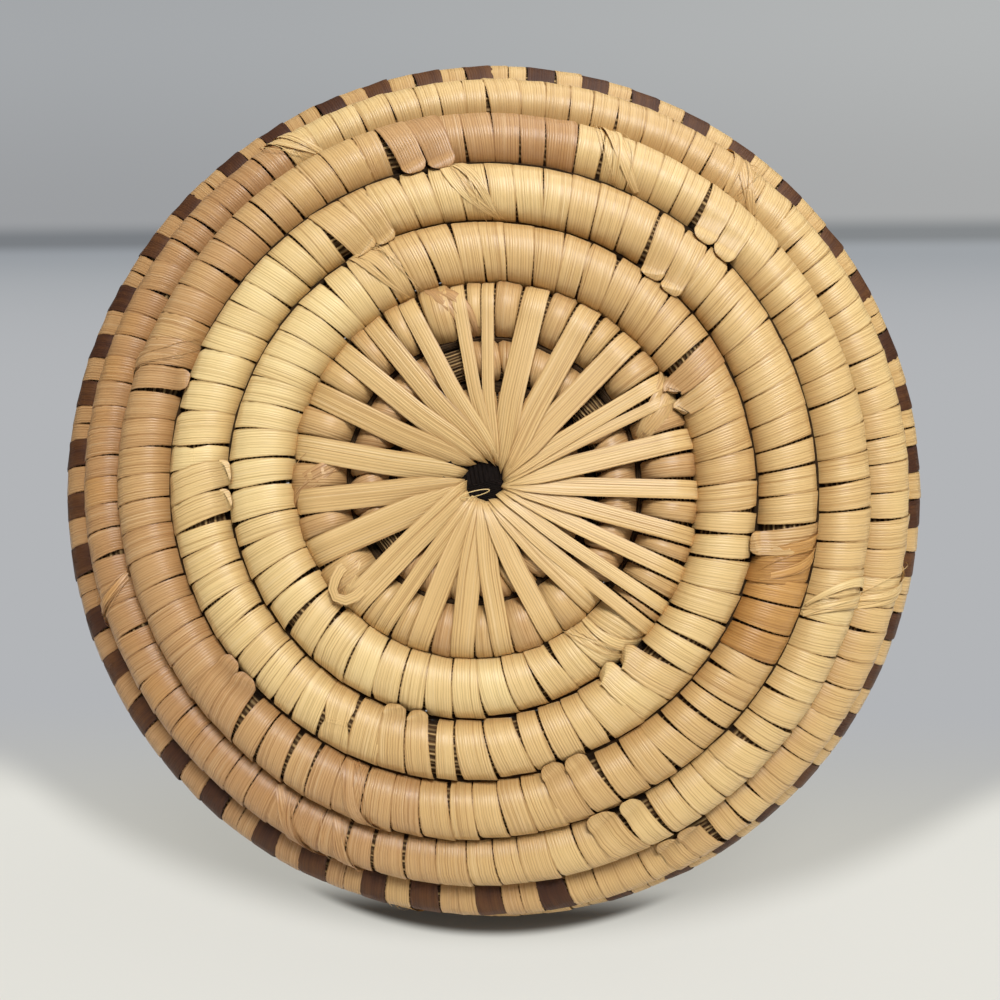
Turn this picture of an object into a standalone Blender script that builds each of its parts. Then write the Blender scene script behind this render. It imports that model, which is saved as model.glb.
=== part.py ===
"""Round coiled basket, worked as one long bundle of grass bound with flat splints.

One bundle winds out from a small hole, turns up at the shoulder and climbs an inward-leaning
wall to the rim. A starburst of long splints binds the first laps into a disc, and flat wraps
cover every lap after it. Metres, +Z up, with the origin under the centre of the base.
"""

import bisect
import math

import bmesh
import bpy
from mathutils import Vector

# The bundle's winding
HUB_HOLE_RADIUS = 0.0025
START_PITCH = 0.0055
LAP_PITCH = 0.00945
START_TURNS = 2.5
TOTAL_TURNS = 13.25
EDGE_AZIMUTH = math.radians(-135)

# The basket's outline, followed by the middle of the bundle
BASE_FLAT_RADIUS = 0.046
SHOULDER_BEND = 0.028
SHOULDER_ANGLE = math.radians(50)
CORNER_BEND = 0.0148
WALL_LEAN = math.radians(19.4)

# The wraps around the bundle
WRAP_THICKNESS = 0.0006
LAP_GAP = 0.0004
FIT_GAP = 0.0003
FOOT_CUT = 0.0005
SETTLE_TURNS = 0.4
TAIL_TURNS = 0.2
TAIL_TIP_SHARE = 0.45

# The starburst's splints
SPLINT_COUNT = 28
SPLINT_WIDTH = 0.004
SPLINT_TIP_WIDTH = 0.0005
SPLINT_THICKNESS = 0.0005

# The disc is the start's laps and the one lap at its edge
DISC_TURNS = START_TURNS + 1

# The splints reach in to where their narrow tips just clear each other
SPLINT_TIP_RADIUS = (SPLINT_TIP_WIDTH + FIT_GAP) * SPLINT_COUNT / (2 * math.pi)

# The facets. Laps lie point to point, and each splint lies on one facet of the disc's edge
LAP_POINTS = SPLINT_COUNT
START_POINTS = LAP_POINTS // 2
DRAWN_IN_FACETS = 4
WRAP_SIDES = 10
CORE_SIDES = 6
WRAP_FLAT_SHARE = math.cos(math.pi / WRAP_SIDES)

# Each wrap's name, the turn that it ends at and its colour
WRAPS = (
    ("start_wrap_inner", START_TURNS - 1, "pale"),
    ("start_wrap_outer", START_TURNS, "pale"),
    ("edge_wrap", DISC_TURNS, "pale"),
    ("base_wrap_inner", 4.875, "pale"),
    ("base_wrap_outer", 5.71, "straw"),
    ("shoulder_wrap_lower", 6.625, "tan"),
    ("shoulder_wrap_upper", 7.585, "tan"),
    ("band_wrap", 8.585, "dyed"),
    ("wall_wrap_1", 9.75, "tan"),
    ("wall_wrap_2", 10.875, "straw"),
    ("wall_wrap_3", 11.96, "tan"),
    ("rim_wrap", TOTAL_TURNS - TAIL_TURNS, "straw"),
)

COLOURS = {
    "core": (0.36, 0.25, 0.12),
    "pale": (0.72, 0.60, 0.36),
    "straw": (0.64, 0.48, 0.27),
    "tan": (0.56, 0.38, 0.21),
    "dyed": (0.10, 0.05, 0.03),
}
ROUGHNESS = {"core": 0.85, "pale": 0.5, "straw": 0.5, "tan": 0.48, "dyed": 0.55}


def clamp(value):
    """Limit a share to the range from 0 to 1."""
    return min(max(value, 0), 1)


def ease(value):
    """Turn a share into one that starts and ends without a kink."""
    share = clamp(value)
    return share * share * (3 - 2 * share)


def azimuth(turn):
    """The angle around the axis, which puts the start of the disc's edge at EDGE_AZIMUTH."""
    return EDGE_AZIMUTH + 2 * math.pi * (turn - START_TURNS)


def run(turn):
    """The distance from the axis along the outline. The bundle thickens until the disc ends."""
    ramp = min(turn, DISC_TURNS)
    growth = (LAP_PITCH - START_PITCH) / DISC_TURNS
    grown = START_PITCH * ramp + growth * ramp * ramp / 2
    return HUB_HOLE_RADIUS + START_PITCH / 2 + grown + LAP_PITCH * max(turn - DISC_TURNS, 0)


def outline(length):
    """Radius, rise and slope of the outline at a distance along it from the axis."""
    radius, rise, slope = min(length, BASE_FLAT_RADIUS), 0, 0
    left = length - radius
    wall_angle = math.pi / 2 + WALL_LEAN
    for bend, end in ((SHOULDER_BEND, SHOULDER_ANGLE), (CORNER_BEND, wall_angle)):
        turned = min(left / bend, end - slope)
        radius += bend * (math.sin(slope + turned) - math.sin(slope))
        rise += bend * (math.cos(slope) - math.cos(slope + turned))
        slope += turned
        left -= bend * turned
    return radius + left * math.cos(slope), rise + left * math.sin(slope), slope


def spacing(turn):
    """The distance across to the next lap, straight from middle to middle."""
    radius_a, rise_a, _ = outline(run(turn))
    radius_b, rise_b, _ = outline(run(turn + 1))
    return math.hypot(radius_b - radius_a, rise_b - rise_a)


def full_radius(turn):
    """The wrapped bundle's radius where it just clears the laps on both of its sides."""
    return (spacing(turn - 1) + spacing(turn)) / 4 - LAP_GAP / 2


def tail_radius(turn):
    """The wrapped bundle's radius with the taper of the rim's tail."""
    tail = ease((turn - TOTAL_TURNS + TAIL_TURNS) / TAIL_TURNS)
    return full_radius(turn) * (1 - (1 - TAIL_TIP_SHARE) * tail)


def wrap_radius(turn):
    """The wrapped bundle's radius, drawn in at the disc's edge by the thickness of a splint."""
    ramp = START_POINTS / DRAWN_IN_FACETS
    drawn_in = clamp((turn - START_TURNS) * ramp + 1) - clamp((turn - DISC_TURNS) * ramp)
    return tail_radius(turn) - (SPLINT_THICKNESS + FIT_GAP) * drawn_in


def core_radius(turn):
    """The bare bundle's radius inside its wrap."""
    return wrap_radius(turn) - WRAP_THICKNESS - FIT_GAP


def centre(turn):
    """Radius, height and slope of the bundle's middle.

    The first laps lie high enough for the splints under them, and the laps after the disc
    settle onto the plane that the basket stands on.
    """
    radius, rise, slope = outline(run(turn) - full_radius(turn) + tail_radius(turn))
    raised = SPLINT_THICKNESS + 2 * FIT_GAP + WRAP_FLAT_SHARE * full_radius(turn)
    standing = full_radius(turn) - FOOT_CUT
    settled = ease((turn - DISC_TURNS) / SETTLE_TURNS)
    return radius, rise + raised + (standing - raised) * settled, slope


def place(turn, radius, height):
    """The point at a radius and a height in the upright plane through the axis at a turn."""
    angle = azimuth(turn)
    return Vector((radius * math.cos(angle), radius * math.sin(angle), height))


def section(turn, size, sides):
    """A ring of points around the bundle's middle, kept above the standing plane."""
    middle, height, slope = centre(turn)
    points = []
    for side in range(sides):
        angle = 2 * math.pi * side / sides + slope
        points.append(
            place(turn, middle + size * math.cos(angle), max(height + size * math.sin(angle), 0))
        )
    return points


def facet_turns():
    """The turns where every lap's facets meet, coarser in the start's small laps."""
    start = math.ceil(START_TURNS * START_POINTS)
    rest = math.floor((TOTAL_TURNS - START_TURNS) * LAP_POINTS) + 1
    turns = [START_TURNS - step / START_POINTS for step in range(start, 0, -1)]
    return turns + [START_TURNS + step / LAP_POINTS for step in range(rest + 1)]


FACET_TURNS = facet_turns()


def stretch(start, end, inset, sides):
    """The rings of a stretch of the bundle, at a depth below the wrap's face.

    The rings lie on the facets' edges and at the stretch's two ends, on the facet there.
    """
    near = 1 / LAP_POINTS / 16
    between = [turn for turn in FACET_TURNS if start + near < turn < end - near]
    rings = []
    for turn in (start, *between, end):
        ahead = bisect.bisect_right(FACET_TURNS, turn)
        before, after = FACET_TURNS[ahead - 1], FACET_TURNS[ahead]
        first = section(before, wrap_radius(before) - inset, sides)
        last = section(after, wrap_radius(after) - inset, sides)
        share = (turn - before) / (after - before)
        rings.append([point.lerp(other, share) for point, other in zip(first, last)])
    return rings


def share_of_turn(length, turn):
    """The share of a turn that a length along the bundle takes up."""
    return length / (2 * math.pi * centre(turn)[0])


def make_object(name, mesh_builder, colour):
    """Put a finished bmesh into a named object with its own material, shaded smooth."""
    bmesh.ops.recalc_face_normals(mesh_builder, faces=mesh_builder.faces)
    mesh = bpy.data.meshes.new(name)
    mesh_builder.to_mesh(mesh)
    mesh_builder.free()
    mesh.shade_smooth()
    mesh.set_sharp_from_angle(angle=math.radians(50))
    material = bpy.data.materials.new(name)
    material.use_nodes = True
    shader = material.node_tree.nodes["Principled BSDF"]
    shader.inputs["Base Color"].default_value = (*COLOURS[colour], 1)
    shader.inputs["Roughness"].default_value = ROUGHNESS[colour]
    shader.inputs["Metallic"].default_value = 0
    mesh.materials.append(material)
    piece = bpy.data.objects.new(name, mesh)
    bpy.context.scene.collection.objects.link(piece)
    return piece


def add_loft(builder, rings):
    """Join rings of points with faces and return the rings as vertices."""
    rows = [[builder.verts.new(point) for point in ring] for ring in rings]
    for row, following in zip(rows, rows[1:]):
        for side in range(len(row)):
            ahead = (side + 1) % len(row)
            builder.faces.new((row[side], row[ahead], following[ahead], following[side]))
    return rows


def add_rim(builder, outer, inner):
    """Fill the flat rim between two rings, always across its narrower diagonal."""
    side = passed = 0
    while side < len(outer) or passed < len(inner):
        here, ahead = outer[side % len(outer)], outer[(side + 1) % len(outer)]
        corner, next_corner = inner[passed % len(inner)], inner[(passed + 1) % len(inner)]
        nearer = (ahead.co - corner.co).length < (next_corner.co - here.co).length
        if passed == len(inner) or (nearer and side < len(outer)):
            builder.faces.new((here, ahead, corner))
            side += 1
        else:
            builder.faces.new((here, next_corner, corner))
            passed += 1


def make_core():
    """The bundle, one unbroken tube from the hub to inside the rim's tail."""
    end = TOTAL_TURNS - share_of_turn(WRAP_THICKNESS + FIT_GAP, TOTAL_TURNS)
    rings = stretch(0, end, WRAP_THICKNESS + FIT_GAP, CORE_SIDES)
    builder = bmesh.new()
    rows = add_loft(builder, rings)
    builder.faces.new(rows[0])
    builder.faces.new(rows[-1])
    gap = min(
        (point - other).length
        for index, ring in enumerate(rings)
        for later in rings[index + START_POINTS // 2 :]
        for point in ring
        for other in later
        if (ring[0] - later[0]).length < 2 * LAP_PITCH
    )
    print(f"least gap between the bundle's laps: {gap * 1000:.2f} mm")
    return make_object("foundation_bundle", builder, "core")


def make_wrap(name, start, end, colour, closed=False):
    """A wrap along a stretch of the bundle, open at both ends or closed over the tail's tip."""
    start += share_of_turn(FIT_GAP / 2, start)
    end -= 0 if closed else share_of_turn(FIT_GAP / 2, end)
    bottom = end - share_of_turn(WRAP_THICKNESS, end) if closed else end
    builder = bmesh.new()
    skin = add_loft(builder, stretch(start, end, 0, WRAP_SIDES))
    bore = add_loft(builder, stretch(start, bottom, WRAP_THICKNESS, CORE_SIDES))
    add_rim(builder, skin[0], bore[0])
    if closed:
        builder.faces.new(skin[-1])
        builder.faces.new(bore[-1])
    else:
        add_rim(builder, skin[-1], bore[-1])
    return make_object(name, builder, colour)


def splint_path(turn):
    """A splint's face on the disc, as radii and heights from the hub, round the edge and back."""
    under = []
    lap = turn - 1
    while lap > 0:
        middle, height, _ = centre(lap)
        size = full_radius(lap)
        reach = WRAP_FLAT_SHARE * size + FIT_GAP
        under.append((middle, size * math.sin(math.pi / WRAP_SIDES), height, reach))
        lap -= 1
    middle, half, height, reach = under[0]
    crest = [(middle + half, height, reach)]
    crest += [(middle - half, height, reach) for middle, half, height, reach in under]
    crest += [(SPLINT_TIP_RADIUS, *crest[-1][1:])]
    edge, edge_height, _ = centre(turn)
    edge *= math.cos(math.pi / LAP_POINTS)
    around = wrap_radius(turn) + FIT_GAP / WRAP_FLAT_SHARE
    path = [(radius, height - reach) for radius, height, reach in reversed(crest)]
    for side in range(-3, 4):
        angle = 2 * math.pi * side / WRAP_SIDES
        path.append((edge + around * math.cos(angle), edge_height + around * math.sin(angle)))
    return path + [(radius, height + reach) for radius, height, reach in crest]


def thicken(path):
    """The splint's other face, a thickness away to the right of the path."""
    points = [Vector(point) for point in path]
    ways = [(after - before).normalized() for before, after in zip(points, points[1:])]
    faces = []
    for point, before, after in zip(points, [ways[0], *ways], [*ways, ways[-1]]):
        across = Vector((before.y + after.y, -before.x - after.x)).normalized()
        square = across.dot(Vector((before.y, -before.x)))
        faces.append(point + across * (SPLINT_THICKNESS / square))
    return faces


def make_splint(index):
    """One splint of the starburst, folded over the disc's edge with a leg on each face."""
    start = START_TURNS + index / LAP_POINTS
    turn = start + 1 / LAP_POINTS / 2
    facet = place(start + 1 / LAP_POINTS, centre(start + 1 / LAP_POINTS)[0], 0)
    sideways = (facet - place(start, centre(start)[0], 0)).normalized()
    path = splint_path(turn)
    rings = []
    for near, far in zip(path, thicken(path)):
        room = 2 * math.pi * near[0] / SPLINT_COUNT - FIT_GAP
        half = sideways * (min(SPLINT_WIDTH, room) / 2)
        on, off = place(turn, *near), place(turn, *far)
        rings.append([on - half, on + half, off + half, off - half])
    builder = bmesh.new()
    rows = add_loft(builder, rings)
    builder.faces.new(rows[0])
    builder.faces.new(rows[-1])
    return make_object(f"splint_{index + 1:02d}", builder, "pale")


def main():
    """Build every piece of the basket."""
    for old in list(bpy.data.objects):
        bpy.data.objects.remove(old, do_unlink=True)
    make_core()
    start = 0
    for name, end, colour in WRAPS:
        make_wrap(name, start, end, colour)
        start = end
    make_wrap("tail_wrap", start, TOTAL_TURNS, "straw", closed=True)
    for index in range(SPLINT_COUNT):
        make_splint(index)


if __name__ == "__main__":
    main()
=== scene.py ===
"""Dresses the coiled basket: its bundle of stems, its splint wraps and starburst, its studio."""

import logging
import math
from collections.abc import Mapping, Sequence
from dataclasses import dataclass, field
from enum import Enum

import bpy
import numpy as np
from mathutils import Matrix, Vector


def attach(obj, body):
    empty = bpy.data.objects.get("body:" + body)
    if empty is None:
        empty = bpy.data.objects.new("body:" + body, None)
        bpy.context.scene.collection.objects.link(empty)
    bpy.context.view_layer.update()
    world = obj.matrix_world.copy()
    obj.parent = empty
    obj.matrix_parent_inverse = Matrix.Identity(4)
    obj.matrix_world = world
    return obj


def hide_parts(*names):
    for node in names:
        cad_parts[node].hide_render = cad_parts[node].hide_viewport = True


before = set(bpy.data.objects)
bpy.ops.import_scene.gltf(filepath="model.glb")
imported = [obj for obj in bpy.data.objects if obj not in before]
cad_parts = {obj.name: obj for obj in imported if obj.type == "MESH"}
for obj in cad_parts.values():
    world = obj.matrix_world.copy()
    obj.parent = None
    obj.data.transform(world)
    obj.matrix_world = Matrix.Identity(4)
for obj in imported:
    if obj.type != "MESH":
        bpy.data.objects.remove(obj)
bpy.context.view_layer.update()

LOG = logging.getLogger("basket")

Array = np.ndarray
Colour = tuple[float, float, float]

UP: Array = np.array((0.0, 0.0, 1.0))


def linear(red: float, green: float, blue: float) -> Colour:
    """Turn a colour written as 0 to 255 screen values into linear light.

    Args:
        red: The red screen value.
        green: The green screen value.
        blue: The blue screen value.

    Returns:
        The same colour as three shares of linear light.
    """
    shares = (value / 255 for value in (red, green, blue))
    return tuple(s / 12.92 if s <= 0.04045 else ((s + 0.055) / 1.055) ** 2.4 for s in shares)


def unit(vectors: Array) -> Array:
    """Scale vectors to a length of one.

    Args:
        vectors: Vectors along the last axis.

    Returns:
        The vectors, each divided by its length.
    """
    return vectors / np.maximum(np.linalg.norm(vectors, axis=-1, keepdims=True), 1e-12)


def smooth(share: Array) -> Array:
    """Ease a share of any size into the range from 0 to 1, without a kink at either end."""
    held = np.clip(share, 0, 1)
    return held * held * (3 - 2 * held)


def eased(place: Array, start: float, reach: float) -> Array:
    """Ease from 0 to 1 over a reach that starts at one place."""
    return smooth((place - start) / reach)


def outwards(azimuth: Array) -> Array:
    """The level directions away from the axis at some angles around it."""
    return np.stack((np.cos(azimuth), np.sin(azimuth), np.zeros_like(azimuth)), axis=-1)


def travelled(points: Array) -> Array:
    """How far along a run each of its points lies."""
    steps = np.linalg.norm(np.diff(points, axis=0), axis=1)
    return np.concatenate(((0,), np.cumsum(steps)))


def tilted(lift: Array, points: Array, tip: Array | float) -> Array:
    """Turn the way that a run's face looks about the run itself.

    Args:
        lift: The directions in which the face looks.
        points: The run's points.
        tip: The angle to turn by.

    Returns:
        The turned directions.
    """
    way = unit(np.gradient(points, axis=0))
    return lift * np.cos(tip) + np.cross(lift, way) * np.sin(tip)


def show(made: bpy.types.Object) -> bpy.types.Object:
    """Link a new object to the scene, and give it back."""
    bpy.context.scene.collection.objects.link(made)
    return made


class Value:
    """A node's socket that takes part in Python expressions."""

    def __init__(self, graph: "Graph", socket: bpy.types.NodeSocket) -> None:
        """Keep the socket, and the graph that it is in."""
        self.graph = graph
        self.socket = socket

    def __add__(self, other: "Value | float") -> "Value":
        """Add."""
        return self.graph.maths("ADD", self, other)

    __radd__ = __add__

    def __sub__(self, other: "Value | float") -> "Value":
        """Subtract."""
        return self.graph.maths("SUBTRACT", self, other)

    def __rsub__(self, other: "Value | float") -> "Value":
        """Subtract this from the other."""
        return self.graph.maths("SUBTRACT", other, self)

    def __mul__(self, other: "Value | float") -> "Value":
        """Multiply."""
        return self.graph.maths("MULTIPLY", self, other)

    __rmul__ = __mul__

    def __truediv__(self, other: "Value | float") -> "Value":
        """Divide."""
        return self.graph.maths("DIVIDE", self, other)

    def __pow__(self, other: "Value | float") -> "Value":
        """Raise to a power."""
        return self.graph.maths("POWER", self, other)

    def __gt__(self, other: "Value | float") -> "Value":
        """Give 1 where this is more than the other, and 0 elsewhere."""
        return self.graph.maths("GREATER_THAN", self, other)

    def size(self) -> "Value":
        """Drop the sign."""
        return self.graph.maths("ABSOLUTE", self)

    def ramp(self, low: float, high: float, start: float = 0.0, end: float = 1.0) -> "Value":
        """Map a range smoothly to another, held at both ends.

        Args:
            low: The value that maps to start.
            high: The value that maps to end.
            start: The result at low.
            end: The result at high.

        Returns:
            The mapped value.
        """
        node = self.graph.node(
            "ShaderNodeMapRange",
            {"interpolation_type": "SMOOTHSTEP"},
            {"Value": self, "From Min": low, "From Max": high, "To Min": start, "To Max": end},
        )
        return self.graph.out(node, "Result")


class Graph:
    """Adds nodes to a shader tree or a geometry tree."""

    def __init__(self, tree: bpy.types.NodeTree) -> None:
        """Keep the tree."""
        self.tree = tree

    def node(
        self,
        kind: str,
        settings: Mapping[str, object] | None = None,
        inputs: Mapping[str | int, object] | None = None,
    ) -> bpy.types.Node:
        """Add a node, set it up and fill its sockets.

        Args:
            kind: The node's type.
            settings: Its properties, set first. "stops" holds a ramp's places and colours.
            inputs: Values or links for its sockets, by identifier, name or number.

        Returns:
            The new node.
        """
        made = self.tree.nodes.new(kind)
        for key, setting in (settings or {}).items():
            if key == "stops":
                self._set_stops(made.color_ramp, setting)
            else:
                setattr(made, key, setting)
        for key, given in (inputs or {}).items():
            socket = self._socket(made, key)
            if isinstance(given, Value):
                self.tree.links.new(given.socket, socket)
            elif isinstance(given, bpy.types.NodeSocket):
                self.tree.links.new(given, socket)
            else:
                socket.default_value = given
        return made

    @staticmethod
    def _socket(node: bpy.types.Node, key: str | int) -> bpy.types.NodeSocket:
        """Find one of a node's inputs.

        Args:
            node: The node.
            key: The input's number, identifier or name.

        Returns:
            The input.
        """
        if isinstance(key, int):
            return node.inputs[key]
        for socket in node.inputs:
            if socket.identifier == key:
                return socket
        return node.inputs[key]

    @staticmethod
    def _set_stops(ramp: bpy.types.ColorRamp, stops: Sequence[tuple[float, Colour]]) -> None:
        """Give a colour ramp its stops.

        Args:
            ramp: The ramp, which has two stops to begin with.
            stops: The places and colours, in rising order.
        """
        while len(ramp.elements) < len(stops):
            ramp.elements.new(1)
        for element, (place, colour) in zip(ramp.elements, stops):
            element.position = place
            element.color = (*colour, 1)

    def out(self, node: bpy.types.Node, name: str | int = 0) -> Value:
        """Wrap one of a node's outputs, so that it can be used in an expression."""
        return Value(self, node.outputs[name])

    def maths(self, operation: str, *terms: "Value | float") -> Value:
        """Add one Math node.

        Args:
            operation: The Math node's operation.
            terms: Values or numbers for its sockets, in order.

        Returns:
            The node's result.
        """
        inputs = dict(enumerate(terms))
        return self.out(self.node("ShaderNodeMath", {"operation": operation}, inputs))

    def attribute(self, name: str, output: str) -> Value:
        """Read a mesh attribute in a shader tree, as the named output of its node."""
        node = self.node("ShaderNodeAttribute", {"attribute_name": name})
        return self.out(node, output)

    def named(self, name: str, kind: str = "FLOAT") -> Value:
        """Read a named attribute in a geometry tree."""
        node = self.node(
            "GeometryNodeInputNamedAttribute", {"data_type": kind}, {"Name": name})
        return self.out(node, "Attribute")

    def store(self, geometry: Value, name: str, value: Value, kind: str = "FLOAT") -> Value:
        """Keep a value on a geometry's points under a name.

        Args:
            geometry: The geometry that carries it.
            name: The attribute's name.
            value: What to keep.
            kind: The attribute's data type.

        Returns:
            The geometry with the attribute.
        """
        node = self.node(
            "GeometryNodeStoreNamedAttribute",
            {"data_type": kind, "domain": "POINT"},
            {"Geometry": geometry, "Name": name, "Value": value},
        )
        return self.out(node, "Geometry")

    def split(self, vector: Value) -> tuple[Value, Value, Value]:
        """Take a vector's three numbers apart."""
        node = self.node("ShaderNodeSeparateXYZ", inputs={"Vector": vector})
        return self.out(node, "X"), self.out(node, "Y"), self.out(node, "Z")

    def join(self, x: "Value | float", y: "Value | float", z: "Value | float") -> Value:
        """Put three numbers together as a vector."""
        return self.out(self.node("ShaderNodeCombineXYZ", inputs={"X": x, "Y": y, "Z": z}))

    def noise(self, vector: Value, scale: float = 1.0, detail: float = 2.0,
              roughness: float = 0.5) -> Value:
        """Read a noise texture.

        Args:
            vector: Where to read it.
            scale: How many grains fit into one unit.
            detail: How many finer layers it has.
            roughness: How strong the finer layers are.

        Returns:
            The noise, around 0.5.
        """
        node = self.node(
            "ShaderNodeTexNoise", {"noise_dimensions": "3D"},
            {"Vector": vector, "Scale": scale, "Detail": detail, "Roughness": roughness},
        )
        return self.out(node, 0)

    def mix(self, share: "Value | float", first: object, second: object,
            blend: str = "MIX") -> Value:
        """Mix two colours.

        Args:
            share: How much of the second colour there is.
            first: The first colour or its link.
            second: The second colour or its link.
            blend: The way of mixing.

        Returns:
            The mixed colour.
        """
        first, second = (given if isinstance(given, Value) else (*given, 1)
                         for given in (first, second))
        node = self.node(
            "ShaderNodeMix", {"data_type": "RGBA", "blend_type": blend},
            {"Factor_Float": share, "A_Color": first, "B_Color": second},
        )
        return self.out(node, 2)

    def ramped(self, place: Value, stops: Sequence[tuple[float, Colour]]) -> Value:
        """Read a colour ramp at a place."""
        node = self.node("ShaderNodeValToRGB", {"stops": stops}, {"Fac": place})
        return self.out(node, "Color")

    def bump(self, height: Value, strength: float, depth: float) -> Value:
        """Turn a height into a bumped normal."""
        return self.out(self.node("ShaderNodeBump", inputs={
            "Strength": strength, "Distance": depth, "Height": height}))

    def dress(self, inputs: Mapping[str, object]) -> None:
        """Fill the sockets of a material's plain shader.

        Args:
            inputs: For each socket's name, its value or its link.
        """
        shader = self.tree.nodes["Principled BSDF"]
        for key, given in inputs.items():
            if isinstance(given, Value):
                self.tree.links.new(given.socket, shader.inputs[key])
            else:
                shader.inputs[key].default_value = given

    def blend(self, share: Value, first: bpy.types.Node, second: bpy.types.Node) -> bpy.types.Node:
        """Mix two shaders, by how much of the second there is."""
        return self.node("ShaderNodeMixShader", inputs={
            0: share, 1: first.outputs[0], 2: second.outputs[0]})

    def finish(self, shader: bpy.types.Node) -> None:
        """End the tree with a shader, in place of the one that it came with."""
        surface = next(node for node in self.tree.nodes if "Output" in node.name).inputs["Surface"]
        self.tree.nodes.remove(surface.links[0].from_node)
        self.tree.links.new(shader.outputs[0], surface)


def new_material(name: str) -> tuple[bpy.types.Material, Graph]:
    """Make a material with nodes.

    Args:
        name: The material's name.

    Returns:
        The material, and the graph of its tree, which holds a plain shader.
    """
    made = bpy.data.materials.new(name)
    made.use_nodes = True
    return made, Graph(made.node_tree)


@dataclass(frozen=True)
class Winding:
    """The way the bundle is wound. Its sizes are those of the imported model, in metres."""

    hub_hole: float = 0.0025
    start_pitch: float = 0.0055
    lap_pitch: float = 0.00945
    start_turns: float = 2.5
    total_turns: float = 13.25
    flat_radius: float = 0.046
    shoulder_bend: float = 0.028
    shoulder_angle: float = math.radians(50)
    corner_bend: float = 0.0148
    wall_lean: float = math.radians(19.4)
    lap_gap: float = 0.0004
    foot_cut: float = 0.0005
    settle_turns: float = 0.4
    tail_turns: float = 0.2
    tail_tip: float = 0.45
    disc_lift: float = 0.0011
    flat_share: float = math.cos(math.pi / 10)
    push: float = 0.0003
    push_aside: float = 0.0007
    push_ripple: float = 0.0002
    # Where the push sets in and fades, each as a place and the reach after it
    push_start: tuple[float, float] = (0.028, 0.010)
    push_end: tuple[float, float] = (0.058, 0.012)
    push_top: tuple[float, float] = (0.013, 0.012)
    innermost: float = 0.001

    @property
    def disc_turns(self) -> float:
        """The turn at which the disc's edge lap ends."""
        return self.start_turns + 1

    def azimuth(self, turn: Array) -> Array:
        """The angle around the axis at a turn."""
        return -0.75 * math.pi + 2 * math.pi * (turn - self.start_turns)

    def run(self, turn: Array) -> Array:
        """The distance from the axis along the outline at a turn.

        Args:
            turn: Turns along the winding.

        Returns:
            The distances.
        """
        ramp = np.minimum(turn, self.disc_turns)
        growth = (self.lap_pitch - self.start_pitch) / self.disc_turns
        grown = self.start_pitch * ramp + growth * ramp * ramp / 2
        after = np.maximum(turn - self.disc_turns, 0)
        return self.hub_hole + self.start_pitch / 2 + grown + self.lap_pitch * after

    def outline(self, length: Array) -> tuple[Array, Array, Array]:
        """The outline at a distance along it.

        Args:
            length: Distances from the axis along the outline.

        Returns:
            Radii, rises and slopes.
        """
        radius = np.minimum(length, self.flat_radius)
        rise, slope, left = np.zeros_like(radius), np.zeros_like(radius), length - radius
        wall = math.pi / 2 + self.wall_lean
        for bend, end in ((self.shoulder_bend, self.shoulder_angle), (self.corner_bend, wall)):
            turned = np.minimum(left / bend, end - slope)
            radius = radius + bend * (np.sin(slope + turned) - np.sin(slope))
            rise = rise + bend * (np.cos(slope) - np.cos(slope + turned))
            slope, left = slope + turned, left - bend * turned
        return radius + left * np.cos(slope), rise + left * np.sin(slope), slope

    def spacing(self, turn: Array) -> Array:
        """The distance across to the next lap."""
        near, far = self.outline(self.run(turn)), self.outline(self.run(turn + 1))
        return np.hypot(far[0] - near[0], far[1] - near[1])

    def full_radius(self, turn: Array) -> Array:
        """The wrapped bundle's radius where it just clears its neighbours."""
        return (self.spacing(turn - 1) + self.spacing(turn)) / 4 - self.lap_gap / 2

    def radius(self, turn: Array) -> Array:
        """The wrapped bundle's radius, with the taper of the rim's tail."""
        tail = smooth((turn - self.total_turns + self.tail_turns) / self.tail_turns)
        return self.full_radius(turn) * (1 - (1 - self.tail_tip) * tail)

    def centre(self, turn: Array) -> tuple[Array, Array, Array]:
        """The bundle's middle at a turn.

        Args:
            turn: Turns along the winding.

        Returns:
            Its radii, heights and slopes.
        """
        full = self.full_radius(turn)
        radius, rise, slope = self.outline(self.run(turn) - full + self.radius(turn))
        raised = self.disc_lift + self.flat_share * full
        settled = eased(turn, self.disc_turns, self.settle_turns)
        return radius, rise + raised + (full - self.foot_cut - raised) * settled, slope

    def uneven(self, points: Array) -> Array:
        """Push points on the middle laps outwards by the hand's small unevenness.

        Args:
            points: The points.

        Returns:
            The pushed points.
        """
        reach = np.hypot(points[:, 0], points[:, 1])
        around = np.arctan2(points[:, 1], points[:, 0])
        held = eased(reach, *self.push_start) * (1 - eased(reach, *self.push_end))
        held = held * (1 - eased(points[:, 2], *self.push_top))
        push = self.push + self.push_aside * np.cos(around)
        push = push + self.push_ripple * np.sin(5 * around + 2)
        pushed = points.copy()
        pushed[:, :2] *= (1 + held * push / np.maximum(reach, self.innermost))[:, None]
        return pushed

    def skin(self, turn: Array, angle: Array, proud: Array | float = 0.0) -> tuple[Array, Array]:
        """Points on the bundle.

        Args:
            turn: Where along the bundle.
            angle: Where around it. At 0 it meets the next lap, at minus a quarter turn it
                faces out of the basket, and at half a turn it meets the lap before it.
            proud: The height over the wrapped bundle's face.

        Returns:
            The points, and the directions that point away from the bundle's middle there.
        """
        radius, height, slope = self.centre(turn)
        outward = outwards(self.azimuth(turn))
        sine, cosine = np.sin(angle + slope)[..., None], np.cos(angle + slope)[..., None]
        away = outward * cosine + UP * sine
        middle = outward * radius[..., None] + UP * height[..., None]
        size = self.radius(turn) + proud
        return self.uneven(middle + away * size[..., None]), away

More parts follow.
